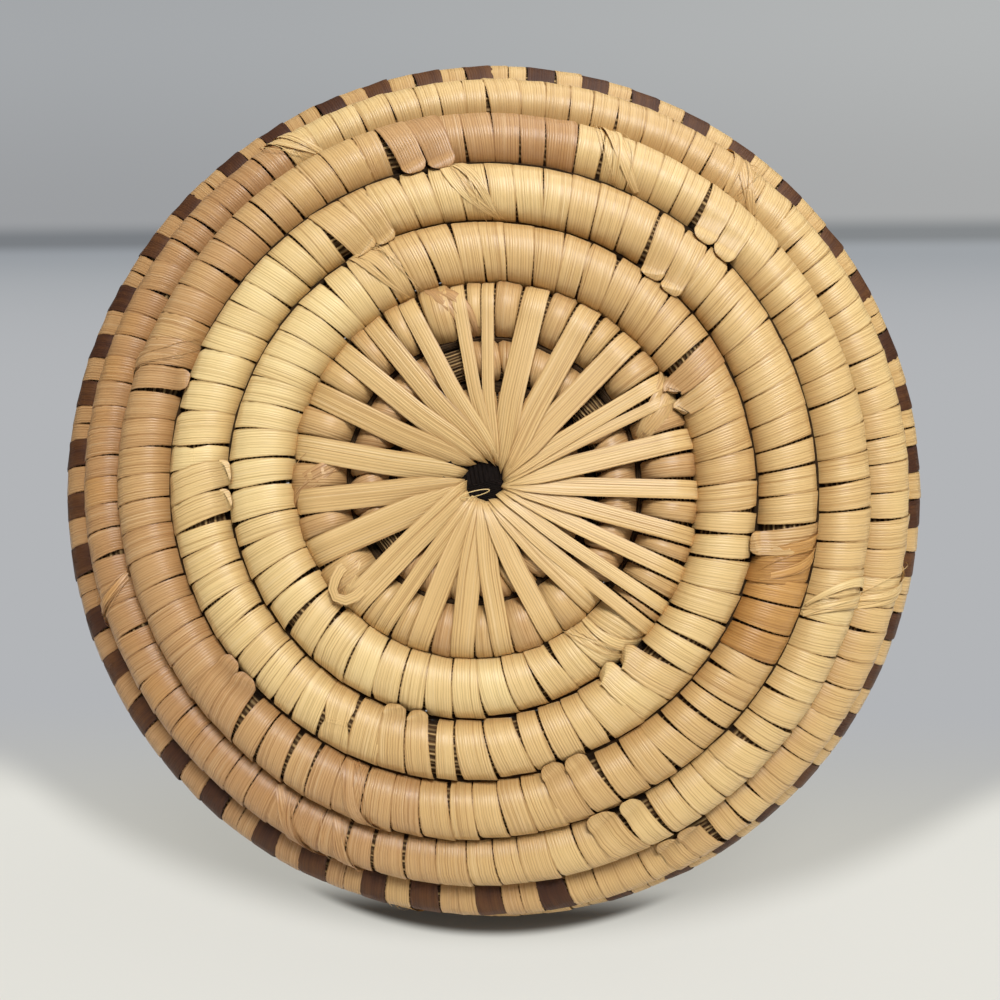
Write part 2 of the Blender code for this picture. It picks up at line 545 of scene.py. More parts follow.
    def lengths(self, step: float = 0.004) -> tuple[Array, Array]:
        """The bundle's length up to each of many turns.

        Args:
            step: The share of a turn between them.

        Returns:
            The turns and the lengths.
        """
        turns = np.arange(0, self.total_turns + step, step)
        speed = 2 * math.pi * self.centre(turns)[0]
        length = np.concatenate(((0,), np.cumsum((speed[1:] + speed[:-1]) / 2 * step)))
        return turns, length


class Tone(float, Enum):
    """Shades of splint, as places on the finish's colour ramp."""

    PALE = 0.02
    CREAM = 0.14
    STRAW = 0.28
    HONEY = 0.40
    TAN = 0.52
    ROSE = 0.66
    AMBER = 0.82
    DYED = 1.0


# The turns at which the winding has each shade. It fades evenly from one to the next
SHADES: Mapping[Tone, tuple[float, ...]] = {
    Tone.PALE: (3.9, 4.02, 4.9, 5.0),
    Tone.CREAM: (3.62, 3.82, 4.42, 4.72, 4.86, 5.12, 6.17, 6.44, 7.045, 7.26, 9.1, 11.9),
    Tone.STRAW: (2.9, 4.06, 4.62, 4.68, 5.04, 5.2, 5.4, 5.62, 6.4, 6.6, 7.45, 8.2, 8.6, 10.2,
        11.3, 13.3),
    Tone.HONEY: (0.0, 2.6, 3.2, 4.2, 4.38, 5.47, 5.52, 6.04, 7.23, 7.58, 9.7, 12.6),
    Tone.TAN: (5.66, 6.0, 6.1, 6.66, 8.0, 10.8),
    # Rose from 6.72 to 7.8 darkens the outer laps on the left partly for their tone and partly as
    # painted shade, as less light falls there
    Tone.ROSE: (6.165, 6.72, 7.03, 7.8),
    Tone.AMBER: (5.41, 5.465),
}


@dataclass
class Strip:
    """One splint's run: its middle line, how its face looks, its half width and its painted seam
    shade.
    """

    points: Array
    lift: Array
    half: Array
    tone: float
    seed: float
    seam: Array | float = 0.0


@dataclass(frozen=True)
class SplintFinish:
    """Flat split leaf: satin, with fine lengthwise veins, edges darkened partly by wear and partly
    by painted shade, and painted shade near the seams.
    """

    name: str = "splint"
    roughness: float = 0.42
    rib_pitch: float = 0.00042
    vein_width: float = 0.00022
    vein_length: float = 0.045
    vein_depth: float = 0.00005
    blotch_size: tuple[float, float] = (0.003, 0.004)
    specular: float = 0.45
    relief: float = 0.7
    rib_share: float = 0.50
    vein_share: float = 0.7
    shine_share: float = 0.22
    # How far the edges darken: partly wear, partly painted shade along them
    edge_share: float = 0.76
    # Painted shade: how far each splint darkens near the seams between laps
    seam_shade_share: float = 0.55
    grain_and_shade_tint: Colour = (0.56, 0.45, 0.33)
    shine: Colour = (0.88, 0.72, 0.46)
    stops: tuple[tuple[float, Colour], ...] = (
        (0.02, linear(234, 207, 148)),
        (0.14, linear(226, 195, 136)),
        (0.28, linear(217, 182, 124)),
        (0.40, linear(208, 171, 114)),
        (0.52, linear(194, 153, 103)),
        (0.66, linear(184, 141, 94)),
        (0.82, linear(200, 151, 86)),
        (0.90, linear(130, 84, 38)),
        (1.00, linear(68, 33, 4)),
    )

    def material(self) -> bpy.types.Material:
        """Build the material, which reads the strips' own attributes.

        Returns:
            The material.
        """
        made, graph = new_material(self.name)
        across, along, seed = graph.split(graph.attribute("weave", "Vector"))
        tone = graph.attribute("tone", "Fac")
        edge = graph.attribute("across", "Fac").size()
        far = along / self.vein_length
        wide, long = self.blotch_size

        veins = graph.noise(graph.join(across / self.vein_width, far, seed * 61), detail=1.5)
        bands = graph.noise(graph.join(across / (4 * self.vein_width), far, seed * 23 + 7))
        blotch = graph.noise(graph.join(across / wide, along / long, seed * 11 + 3), detail=3)
        phase = across * (2 * math.pi / self.rib_pitch) + bands * 11
        ribs = graph.maths("SINE", phase) * 0.5 + 0.5

        place = tone + (bands - 0.5) * 0.06 + (blotch - 0.5) * 0.05
        colour = graph.ramped(place, self.stops)
        dark = graph.mix(1.0, colour, self.grain_and_shade_tint, "MULTIPLY")
        furrows = ribs.ramp(0.45, 0.0) * bands.ramp(0.25, 0.6)
        ribbed = graph.mix(furrows * self.rib_share, colour, dark)
        veined = graph.mix(veins.ramp(0.46, 0.28) * self.vein_share, ribbed, dark)
        bright = veins.ramp(0.56, 0.74) * tone.ramp(0.86, 0.76)
        lit = graph.mix(bright * self.shine_share, veined, self.shine)
        # Edges darkened partly by wear and partly by painted shade
        edge_worn_and_shaded = graph.mix(edge.ramp(0.88, 1.0) * self.edge_share, lit, dark)
        # Painted shade near the seams, where each stitch meets its neighbouring laps
        seam_shaded = graph.mix(graph.attribute("seam", "Fac") * self.seam_shade_share, edge_worn_and_shaded, dark)
        graph.dress({
            "Base Color": seam_shaded,
            "Roughness": (veins - 0.5) * 0.2 + tone.ramp(0.88, 0.94) * 0.2 + self.roughness,
            "Normal": graph.bump(veins + ribs * 0.7, self.relief, self.vein_depth),
            "Metallic": 0.0,
            "Specular IOR Level": self.specular,
        })
        return made


@dataclass(frozen=True)
class StemFinish:
    """Dry grass stems: matt, in many browns, with painted shade in their grooves, at their sides
    and on the runs that lie in shade.
    """

    name: str = "dry stems"
    roughness: float = 0.8
    specular: float = 0.15
    stems: float = 28.0
    relief_depth: float = 0.00025
    # Painted shade: the dark brown of the grooves, the bundle's sides and the packed stems, and
    # the near black of the plug and tuft in the hub
    hollow: Colour = (0.062, 0.034, 0.015)
    near_black_shade: Colour = (0.007, 0.004, 0.003)
    stops: tuple[tuple[float, Colour], ...] = (
        (0.22, linear(40, 26, 14)),
        (0.42, linear(92, 64, 36)),
        (0.56, linear(158, 124, 78)),
        (0.74, linear(206, 172, 118)),
    )

    def material(self) -> bpy.types.Material:
        """Build the material, which reads the bundle's own attributes.

        Returns:
            The material.
        """
        made, graph = new_material(self.name)
        around, along, shade_mark = graph.split(graph.attribute("stem", "Vector"))
        sway = graph.noise(graph.join(around, along / 0.006, 0.0), detail=1)
        fibres = graph.noise(graph.join(around * 12, along / 0.012, 3.0), detail=3,
                             roughness=0.65)
        rods = graph.maths("SINE", around * self.stems + sway * 7) * 0.5 + 0.5
        colour = graph.ramped(rods * 0.42 + fibres * 0.7 - 0.02, self.stops)
        # Painted shade: darken by the shade mark, and go nearly black where it passes 1.1
        with_painted_shade = graph.mix(shade_mark * 0.96, colour, self.hollow)
        with_painted_shade = graph.mix(shade_mark.ramp(1.1, 1.5), with_painted_shade, self.near_black_shade)
        graph.dress({
            "Base Color": with_painted_shade,
            "Normal": graph.bump(rods + fibres * 0.5, 1.0, self.relief_depth),
            "Roughness": self.roughness,
            "Specular IOR Level": self.specular,
        })
        return made


class NodeMaker:
    """Runs a geometry tree over a set of lines and keeps the result as a plain mesh."""

    def __init__(self, name: str, material: bpy.types.Material, sizes: Mapping[str, str]) -> None:
        """Make the tree.

        Args:
            name: The tree's name.
            material: The finish of what it makes.
            sizes: The names of its other inputs, with the kinds of their sockets.
        """
        self.material = material
        self.tree = bpy.data.node_groups.new(name, "GeometryNodeTree")
        self.graph = Graph(self.tree)
        for label, kind in {"Geometry": "Geometry", **sizes, "Material": "Material"}.items():
            self.tree.interface.new_socket(
                label, in_out="INPUT", socket_type=f"NodeSocket{kind}")
        self.tree.interface.new_socket(
            "Geometry", in_out="OUTPUT", socket_type="NodeSocketGeometry")
        self.given = self.graph.node("NodeGroupInput")
        self._build()

    def _build(self) -> None:
        """Build the tree, which differs from maker to maker."""
        raise NotImplementedError

    def _input(self, name: str) -> Value:
        """One of the tree's inputs."""
        return self.graph.out(self.given, name)

    def _place(self) -> Value:
        """Where each point is."""
        return self.graph.out(self.graph.node("GeometryNodeInputPosition"))

    def _moved(self, geometry: Value, **inputs: Value) -> Value:
        """Set the points of a geometry to a Position, or move them by an Offset."""
        return self.graph.out(self.graph.node(
            "GeometryNodeSetPosition", inputs={"Geometry": geometry, **inputs}))

    def _ring(self, corners: Value) -> tuple[Value, Value, Value]:
        """Start a profile.

        Args:
            corners: How many corners it has.

        Returns:
            The ring with a radius of one, and its points' two coordinates.
        """
        ring = self.graph.node("GeometryNodeCurvePrimitiveCircle", inputs={
            "Resolution": corners, "Radius": 1.0})
        return (self.graph.out(ring), *self.graph.split(self._place())[:2])

    def _swept(self, profile: Value) -> Value:
        """Carry a profile along the lines.

        Args:
            profile: The profile, in halves of the width that the lines give.

        Returns:
            The swept, capped mesh.
        """
        graph = self.graph
        lines = graph.node("GeometryNodeMeshToCurve", inputs={"Mesh": self._input("Geometry")})
        faced = graph.node("GeometryNodeSetCurveNormal", {"mode": "FREE"}, {
            "Curve": graph.out(lines), "Normal": graph.named("sideways", "FLOAT_VECTOR")})
        return graph.out(graph.node("GeometryNodeCurveToMesh", inputs={
            "Curve": graph.out(faced), "Profile Curve": profile,
            "Scale": graph.named("half"), "Fill Caps": True}))

    def _finish(self, geometry: Value) -> None:
        """End the tree with Realize Instances and Set Material.

        Args:
            geometry: What the tree has made.
        """
        real = self.graph.node("GeometryNodeRealizeInstances", inputs={"Geometry": geometry})
        dressed = self.graph.node("GeometryNodeSetMaterial", inputs={
            "Geometry": self.graph.out(real), "Material": self._input("Material")})
        self.graph.node("NodeGroupOutput", inputs={0: self.graph.out(dressed)})

    def run(self, name: str, spine: bpy.types.Mesh, sizes: Mapping[str, object],
            crease: float) -> bpy.types.Object:
        """Run the tree on a mesh of lines.

        Args:
            name: The finished piece's name.
            spine: The lines, with their attributes.
            sizes: Values for the tree's other named inputs.
            crease: The angle in radians over which an edge is shown sharp.

        Returns:
            The finished piece as a plain mesh at the origin.
        """
        sizes = {**sizes, "Material": self.material}
        holder = show(bpy.data.objects.new(f"{name}_lines", spine))
        modifier = holder.modifiers.new("lines", "NODES")
        modifier.node_group = self.tree
        for item in self.tree.interface.items_tree:
            if item.in_out == "INPUT" and item.name in sizes:
                modifier[item.identifier] = sizes[item.name]
        holder.update_tag()
        graph = bpy.context.evaluated_depsgraph_get()
        mesh = bpy.data.meshes.new_from_object(holder.evaluated_get(graph))
        mesh.name = name
        holder.modifiers.remove(modifier)
        bpy.data.objects.remove(holder, do_unlink=True)
        bpy.data.meshes.remove(spine)
        mesh.shade_smooth()
        mesh.set_sharp_from_angle(angle=crease)
        return show(bpy.data.objects.new(name, mesh))


def lines_mesh(runs: Sequence[Array], attributes: Mapping[str, Sequence[Array]]) -> bpy.types.Mesh:
    """Put runs of points into one mesh of edges.

    Args:
        runs: The points of each run.
        attributes: For each attribute, its values at each run's points.

    Returns:
        The mesh.
    """
    mesh = bpy.data.meshes.new("lines")
    edges, first = [], 0
    for run in runs:
        order = np.arange(first, first + len(run) - 1)
        edges.append(np.stack((order, order + 1), axis=1))
        first += len(run)
    mesh.from_pydata(np.concatenate(runs).tolist(), np.concatenate(edges).tolist(), [])
    for name, values in attributes.items():
        joined = np.concatenate(values).astype(np.float32)
        kind, key = ("FLOAT_VECTOR", "vector") if joined.ndim == 2 else ("FLOAT", "value")
        mesh.attributes.new(name, kind, "POINT").data.foreach_set(key, joined.ravel())
    return mesh


class SplintMaker(NodeMaker):
    """Turns strips into crowned flat splints."""

    corners: int = 6
    belly: float = 0.08
    crease: float = math.radians(75)
    side_power: float = 0.34
    face_power: float = 0.7

    def __init__(self) -> None:
        """Make the tree and its finish."""
        super().__init__("Flat splints", SplintFinish().material(), {
            "Corners": "Int", "Crown": "Float", "Belly": "Float"})

    def _build(self) -> None:
        """Build the tree: a crowned profile carried along each line."""
        graph = self.graph
        ring, x, y = self._ring(self._input("Corners"))
        wide = graph.maths("SIGN", x) * x.size() ** self.side_power
        height = graph.maths("SIGN", y) * y.size() ** self.face_power
        upper = y > 0.0
        thick = upper * self._input("Crown") + (1 - upper) * self._input("Belly")
        profile = self._moved(graph.store(ring, "across", wide),
                              Position=graph.join(wide, height * thick, 0.0))
        swept = self._swept(profile)
        weave = graph.join(
            graph.named("across") * graph.named("half"), graph.named("along"),
            graph.named("seed"))
        self._finish(graph.store(swept, "weave", weave, "FLOAT_VECTOR"))

    def make(self, name: str, strips: Sequence[Strip], crown: float) -> bpy.types.Object:
        """Make one piece of many splints.

        Args:
            name: The piece's name.
            strips: The splints' runs.
            crown: How far a splint bulges, as a share of half its width.

        Returns:
            The piece.
        """
        values = {
            "sideways": [unit(np.cross(strip.lift, unit(np.gradient(strip.points, axis=0))))
                         for strip in strips],
            "along": [travelled(strip.points) for strip in strips],
            "half": [strip.half for strip in strips],
        }
        for key in ("tone", "seed", "seam"):
            values[key] = [np.zeros(len(strip.points)) + getattr(strip, key) for strip in strips]
        spine = lines_mesh([strip.points for strip in strips], values)
        sizes = {"Corners": self.corners, "Crown": crown, "Belly": self.belly}
        return self.run(name, spine, sizes, self.crease)


class BundleMaker(NodeMaker):
    """Turns a line into a bundle of grass stems."""

    sizes: Mapping[str, float] = {"Stems": 16, "Groove": 0.06, "Sway": 0.0005, "Lobe": 0.17}
    crease: float = math.radians(80)
    lobe_power: float = 14.0
    sway_scale: float = 420.0

    def __init__(self) -> None:
        """Make the tree and its finish."""
        super().__init__("Stem bundle", StemFinish().material(), {
            "Stems": "Int", "Groove": "Float", "Sway": "Float", "Lobe": "Float"})

    def _build(self) -> None:
        """Build the tree: a fluted ring carried along the line, drawn out at both sides."""
        graph = self.graph
        ring, x, y = self._ring(self._input("Stems") * 2.0)
        index = graph.out(graph.node("GeometryNodeInputIndex"))
        hollow = graph.maths("MODULO", index, 2.0)
        lobe = x.size() ** self.lobe_power
        size = 1 - hollow * self._input("Groove") + lobe * self._input("Lobe")
        # Mark the grooves between stems and the drawn-out sides, where painted shade goes
        marked = graph.store(ring, "shade_mark", graph.maths("MAXIMUM", hollow, lobe))
        turned = graph.store(marked, "around", graph.maths("ARCTAN2", y, x))
        swept = self._swept(self._moved(turned, Position=graph.join(x * size, y * size, 0.0)))
        wave = graph.noise(self._place(), scale=self.sway_scale)
        push = graph.node("ShaderNodeVectorMath", {"operation": "SCALE"}, {
            0: graph.out(graph.node("GeometryNodeInputNormal")),
            "Scale": (wave - 0.5) * self._input("Sway")})
        moved = self._moved(swept, Offset=graph.out(push))
        # Painted shade: the larger of the groove mark and the run's own shade
        dim = graph.maths("MAXIMUM", graph.named("shade_mark"), graph.named("shade"))
        stem = graph.join(graph.named("around"), graph.named("along"), dim)
        self._finish(graph.store(moved, "stem", stem, "FLOAT_VECTOR"))

    def make(self, name: str, runs: Sequence[Array], sideways: Sequence[Array],
             half: Sequence[Array], shade: Sequence[float]) -> bpy.types.Object:
        """Make the bundle and the stems packed around it.

        Args:
            name: The piece's name.
            runs: The middle line of each run.
            sideways: A direction across each run at its points.
            half: Each run's radius at its points.
            shade: How much painted shade each run has. Over 1 it is painted nearly black.

        Returns:
            The piece.
        """
        spine = lines_mesh(runs, {
            "sideways": sideways, "half": half, "along": [travelled(run) for run in runs],
            "shade": [np.full(len(run), dim) for run, dim in zip(runs, shade)]})
        return self.run(name, spine, self.sizes, self.crease)


class Break(Enum):
    """What breaks the even run of the stitches."""

    TUCK = "two ends tucked over the lap before"
    CROSS = "an end folded across its neighbours"
    BARE = "a gap where the stems show"
    NOTCH = "an end cut to a point"
    OPEN = "a stitch left out"


# The turns at which the run of the stitches is broken
BREAKS: Mapping[Break, tuple[float, ...]] = {
    Break.TUCK: (
        4.289, 4.499, 4.662, 4.855, 5.042, 5.222, 5.397, 5.570, 5.755, 5.920, 6.088, 6.236,
        6.550, 7.530),
    Break.CROSS: (
        3.53, 4.055, 5.115, 5.412, 5.680, 5.940, 6.181, 6.435, 6.680, 6.696, 6.825, 7.040,
        7.240, 7.415),
    Break.BARE: (
        3.560, 3.750, 3.780, 3.877, 4.006, 4.100, 4.270, 4.420, 4.476, 4.582, 4.625, 4.641,
        4.657, 5.009, 5.261, 5.355, 5.438, 5.496, 5.513, 5.712, 5.728, 5.983, 6.011, 6.178,
        6.257, 6.385, 6.483, 6.667, 6.676, 6.853, 6.985, 7.037, 7.093, 7.518),
    Break.NOTCH: (4.707, 4.893),
    Break.OPEN: (1.765, 1.79, 2.08, 2.10, 2.29),
}

# Each long splint: its place at the disc's edge and near the hub, in turns past the picture's
# lowest point, and its width in millimetres
SPOKES: tuple[tuple[float, float, float], ...] = (
    (0.882, 0.905, 3.0), (0.929, 0.950, 3.4), (0.977, 0.990, 3.2), (1.015, 1.015, 3.7),
    (1.056, 1.052, 3.5), (1.092, 1.086, 2.6), (1.122, 1.126, 2.4), (1.135, 1.161, 2.2),
    (1.185, 1.187, 4.6), (1.232, 1.230, 4.0), (1.281, 1.290, 4.1), (1.330, 1.352, 3.8),
    (1.372, 1.408, 3.5), (1.407, 1.452, 3.3), (1.440, 1.492, 2.9), (1.482, 1.512, 2.2),
    (1.507, 1.533, 2.0), (1.547, 1.578, 4.0), (1.591, 1.624, 3.8), (1.630, 1.654, 3.8),
    (1.669, 1.685, 2.5), (1.684, 1.705, 1.8), (1.717, 1.732, 3.4), (1.755, 1.759, 3.0),
    (1.789, 1.782, 2.8), (1.817, 1.810, 2.6), (1.844, 1.847, 2.2), (1.863, 1.886, 2.2),
)


@dataclass
class Stitch:
    """One turn of a splint round the bundle, between two places on it."""

    start: float
    end: float
    tone: float
    seed: float
    tip: float = 0.0
    slant: float = 0.2
    lean: float = 0.0
    sway: float = 0.0
    proud: float = 0.0
    gap: float = 0.0002
    gather: float = 0.0
    pinch: float = 0.08
    kind: Break | None = None

    @property
    def middle(self) -> float:
        """The turn at the stitch's middle."""
        return (self.start + self.end) / 2


@dataclass(frozen=True)
class TuckedEnd:
    """A splint's end that passes over the seam and is tucked into the lap before."""

    start: float = math.radians(-150)
    tip: float = math.radians(-42)
    tip_shift: float = 0.54
    proud: float = 0.0003
    first_lap_proud: float = 0.0010
    dome: float = 0.00035
    # Along the tip, from its end: the share of the way to the stitch, and the share of its width
    tip_shape: tuple[tuple[float, float], ...] = (
        (0.0, 0.40), (0.06, 0.64), (0.16, 0.82), (0.32, 0.94), (0.60, 1.0))
    lean: float = 0.24
    rise: float = 0.0016
    # Painted shade: the step that sets tucked ends browner on the tone ramp, as they lie in shade
    tone_step: float = 0.04
    under: float = 0.004
    gather: float = 0.22


@dataclass(frozen=True)
class TornEnd:
    """A splint's end folded across its neighbours, with the fibres torn off it.

    Its angles are in degrees, and its places across are in widths of a stitch.
    """

    count: int = 14
    strands: int = 5
    wide_strands: int = 2
    start: float = -8
    sweep: float = 158
    angle_spread: float = 0.12
    shift: float = -0.9
    shift_spread: float = 0.22
    across: float = 1.5
    across_spread: float = 0.3
    bend: float = 0.25
    proud: float = 0.00022
    strand_proud: float = 0.00008
    fibre_half: float = 0.00006
    width_share: float = 0.70
    taper_share: float = 0.45
    strand_taper: float = 0.3
    tone_step: float = 0.03
    twist: float = 0.16


@dataclass
class Wraps:
    """The stitches that bind the bundle, laid out along the whole winding."""

    winding: Winding
    pitch: float = 0.0044
    uneven: float = 0.11
    band: tuple[float, float] = (7.585, 8.585)
    dyed_width: float = 0.0045
    natural_width: float = 0.0043
    narrow_width: float = 0.0030
    width_spread: float = 0.0004
    single_share: float = 0.62
    dyed_tone: float = 0.985
    dyed_spread: float = 0.015
    natural_limits: tuple[float, float] = (0.02, 0.84)
    natural_spread: float = 0.025
    odd_share: float = 0.05
    odd_shades: tuple[float, float] = (-0.10, 0.06)
    # Painted shade: the disc's stitches are set darker on the tone ramp, as they lie in shade
    # under the long splints
    disc_painted_shade: float = 0.10
    disc_sink: float = 0.0008
    disc_pinch: float = 0.42
    pinch: float = 0.06
    slant: float = 0.40
    slant_spread: float = 0.045
    tilt_spread: float = 0.018
    height_spread: float = 0.00004
    gap: float = 0.00005
    gap_spread: float = 0.00006
    gap_limits: tuple[float, float] = (0.00002, 0.00020)
    bare_gap: float = 0.0003
    # The breaks scattered over the laps not in view: their distances and how common each is
    break_steps: tuple[float, float] = (0.03, 0.09)
    tuck_share: float = 0.4
    bare_share: float = 0.4
    unbroken_end: float = 0.3
    base_height: float = -0.00012
    seam_rise: float = 0.00027
    first_lap_rise: float = 0.0005
    narrowest_half: float = 0.0004
    segments: int = 14
    gather_angle: float = -0.30
    gather_reach: float = 0.50
    notch_angle: float = -1.54
    notch_overlap: float = 0.08
    notch_reach: float = 0.5
    notch_share: float = 0.66
    # Stitches up to the seat's level are pressed up, as the lowest would be sunk under the plane
    seat_level: float = 0.0022
    seat_sink: float = 0.0005
    seat_spare: float = 0.00022
    tucked: TuckedEnd = field(default_factory=TuckedEnd)
    torn: TornEnd = field(default_factory=TornEnd)
    stitches: list[Stitch] = field(default_factory=list)

    def __post_init__(self) -> None:
        """Lay out the stitches, and break their run where it is broken."""
        self.dice = np.random.default_rng(934)
        places, dyed = self._places()
        knots, tones = zip(*sorted(
            (turn, tone.value) for tone, turns in SHADES.items() for turn in turns))
        for start, end, dark in zip(places, places[1:], dyed):
            natural = float(np.interp((start + end) / 2, knots, tones))
            self.stitches.append(self._stitch(start, end, natural, dark))
        self._break_run()

    def _places(self) -> tuple[Array, list[bool]]:
        """Divide the winding into stitches.

        Returns:
            The turns between the stitches, and for each stitch whether it is dyed.
        """
        dice = self.dice
        turns, lengths = self.winding.lengths()
        places, dyed, waiting, narrow = [0.0], [], 0, False
        while places[-1] < lengths[-1]:
            turn = np.interp(places[-1], lengths, turns)
            width = self.pitch * (1 + self.uneven * float(np.clip(dice.normal(), -2, 2)))
            dark = False
            if self.band[0] <= turn < self.band[1]:
                dark = waiting == 0
                if dark:
                    width = self.dyed_width + self.width_spread * dice.uniform(-1, 1)
                    waiting = 1 if dice.random() < self.single_share else 2
                    narrow = waiting == 2
                else:
                    width = (self.narrow_width if narrow
                             else self.natural_width + self.width_spread * dice.uniform(-1, 1))
                    waiting -= 1
            places.append(places[-1] + width)
            dyed.append(dark)
        return np.interp(places, lengths, turns), dyed

    def _stitch(self, start: float, end: float, natural: float, dark: bool) -> Stitch:
        """Make one stitch with its own small differences.

        Args:
            start: The turn where it starts.
            end: The turn where it ends.
            natural: The shade of undyed splint there.
            dark: Whether it is dyed.

        Returns:
            The stitch.
        """
        dice = self.dice
        natural += self.natural_spread * dice.normal()
        if dice.random() < self.odd_share:
            natural += dice.choice(self.odd_shades)
        dyed = self.dyed_tone + self.dyed_spread * dice.uniform(-1, 1)
        disc = end < self.winding.start_turns
        # Painted shade: darker tone for the disc's stitches under the long splints
        natural += self.disc_painted_shade * disc
        return Stitch(
            start=start, end=end, tone=dyed if dark else self._undyed(natural),
            seed=dice.random(), tip=self.tilt_spread * dice.normal(),
            slant=self.slant + self.slant_spread * dice.normal(),
            sway=self.tilt_spread * dice.normal(),
            proud=self.height_spread * dice.normal() - self.disc_sink * disc,
            gap=float(np.clip(self.gap + self.gap_spread * dice.normal(), *self.gap_limits)),
            pinch=self.disc_pinch if disc else self.pinch)

    def _undyed(self, shade: float) -> float:
        """Hold a shade within those of undyed splint."""
        return float(np.clip(shade, *self.natural_limits))

    def _break_run(self) -> None:
        """Mark the stitches at the breaks, and scatter breaks over the laps not in view."""
        for kind, turns in BREAKS.items():
            for turn in turns:
                self._mark(kind, turn)
        turn = self.band[1]
        while turn < self.winding.total_turns - self.unbroken_end:
            turn += self.dice.uniform(*self.break_steps)
            share = self.dice.random()
            kind = (Break.TUCK if share < self.tuck_share
                    else Break.BARE if share < self.tuck_share + self.bare_share
                    else Break.CROSS)
            self._mark(kind, turn)

    def _mark(self, kind: Break, turn: float) -> None:
        """Mark the stitches at one break.

        Args:
            kind: What breaks the run.
            turn: Where it is.
        """
        near = self._nearest(turn)
        stitch = self.stitches[near]
        if kind is Break.BARE:
            stitch.gap += self.bare_gap + self.bare_gap * self.dice.random()
        elif kind is not Break.TUCK:
            stitch.kind = kind
        else:
            for tucked in self.stitches[near:near + 2]:
                tucked.kind, tucked.lean, tucked.sway = kind, self.tucked.lean, 0.0
                # Painted shade: tucked ends browner, as they lie in shade
                tucked.tone = self._undyed(tucked.tone + self.tucked.tone_step)
            under = self._nearest(turn - 1 + self.tucked.under)
            for gathered in self.stitches[under - 1:under + 2]:
                gathered.gather = self.tucked.gather

    def _nearest(self, turn: float) -> int:
        """The number of the stitch nearest to a turn."""
        return int(np.argmin([abs(stitch.middle - turn) for stitch in self.stitches]))

    def laid(self, stitch: Stitch, angle: Array, shift: Array,
             proud: Array | float = 0.0) -> tuple[Array, Array, Array]:
        """Lay a line over the bundle near a stitch.

        Args:
            stitch: The stitch.
            angle: Where the line is around the bundle.
            shift: How far it is from the stitch's middle, in widths of the stitch.
            proud: Its height over the stitch's face.

        Returns:
            The line's points, the directions away from the bundle, and half of the
            stitch's width there.
        """
        width = stitch.end - stitch.start
        turn = np.clip(stitch.middle + width * shift, 0, self.winding.total_turns)
        height = self.base_height + stitch.proud + proud + self.seam_rise * np.cos(angle) ** 4
        first = self.winding.disc_turns <= stitch.middle < self.winding.disc_turns + 1
        height = height + self.first_lap_rise * first * np.maximum(-np.cos(angle), 0) ** 4
        points, away = self.winding.skin(turn, angle, height)
        points = self._seated(points)
        half = width * math.pi * np.hypot(points[:, 0], points[:, 1]) - stitch.gap / 2
        return points, away, np.maximum(half, self.narrowest_half)

    def body(self, stitch: Stitch) -> list[Strip]:
        """Run the splint of a stitch round the bundle.

        Args:
            stitch: The stitch.

        Returns:
            No strip, one strip, or two where the splint is cut to a point.
        """
        if stitch.kind is Break.OPEN:
            return []
        cuts = ((-math.pi, math.pi),)
        if stitch.kind is Break.NOTCH:
            cuts = ((-math.pi, self.notch_angle + self.notch_overlap),
                    (self.notch_angle - self.notch_overlap, math.pi))
        if stitch.kind is Break.TUCK:
            cuts = ((self.tucked.start, math.pi),)
        made = []
        for first, last in cuts:
            count = max(5, round(self.segments * (last - first) / (2 * math.pi)))
            angle = np.linspace(first, last, count + 1)
            shift = -stitch.slant / 2 * np.cos(angle) + stitch.sway * np.sin(2 * angle + 1)
            lean = stitch.lean * (1 - np.cos(angle)) / 2
            points, away, half = self.laid(
                stitch, angle, shift + lean, self.tucked.rise * lean)
            half = half * (1 - stitch.pinch * (np.abs(angle) / math.pi) ** 6)
            near = np.exp(-((angle - self.gather_angle) / self.gather_reach) ** 2)
            half = half * (1 - stitch.gather * near)
            if stitch.kind is Break.NOTCH:
                whole = smooth(np.abs(angle - self.notch_angle) / self.notch_reach)
                half = half * (self.notch_share + (1 - self.notch_share) * whole)
            # Painted shade, strongest at the seams with the next lap and the lap before
            seam = np.cos(angle) ** 4
            if stitch.kind is Break.TUCK:
                points, away, half = self._tuck(stitch, points, away, half)
                # The tucked tip is darkened towards its end with painted shade, where it would
                # catch the light
                seam = np.concatenate((np.linspace(1.0, 0.0, len(points) - len(seam)), seam))
            lift = tilted(away, points, stitch.tip)
            made.append(Strip(points, lift, half, stitch.tone, stitch.seed, seam))
        return made

    def _tuck(self, stitch: Stitch, points: Array, away: Array,
              half: Array) -> tuple[Array, Array, Array]:
        """Carry the start of a stitch over the seam to the lap before, to a round tip.

        Args:
            stitch: The stitch.
            points: The points of its line.
            away: The directions away from the bundle there.
            half: Half of its width there.

        Returns:
            The same three, each with the tip's before them.
        """
        sizes = self.tucked
        before = Stitch(stitch.start - 1, stitch.end - 1, stitch.tone, stitch.seed)
        first = stitch.middle < self.winding.disc_turns + 1
        tip, tip_away, _ = self.laid(
            before, np.array((sizes.tip,)), np.array((sizes.tip_shift,)),
            sizes.first_lap_proud if first else sizes.proud)
        share, wide = np.array(sizes.tip_shape).T
        share = share[:, None]
        facing = unit(tip_away + (away[0] - tip_away) * share)
        bridge = tip + (points[0] - tip) * share
        bridge = bridge + facing * sizes.dome * np.sin(math.pi * share)
        return (np.concatenate((bridge, points)), np.concatenate((facing, away)),
                np.concatenate((half[0] * wide, half)))

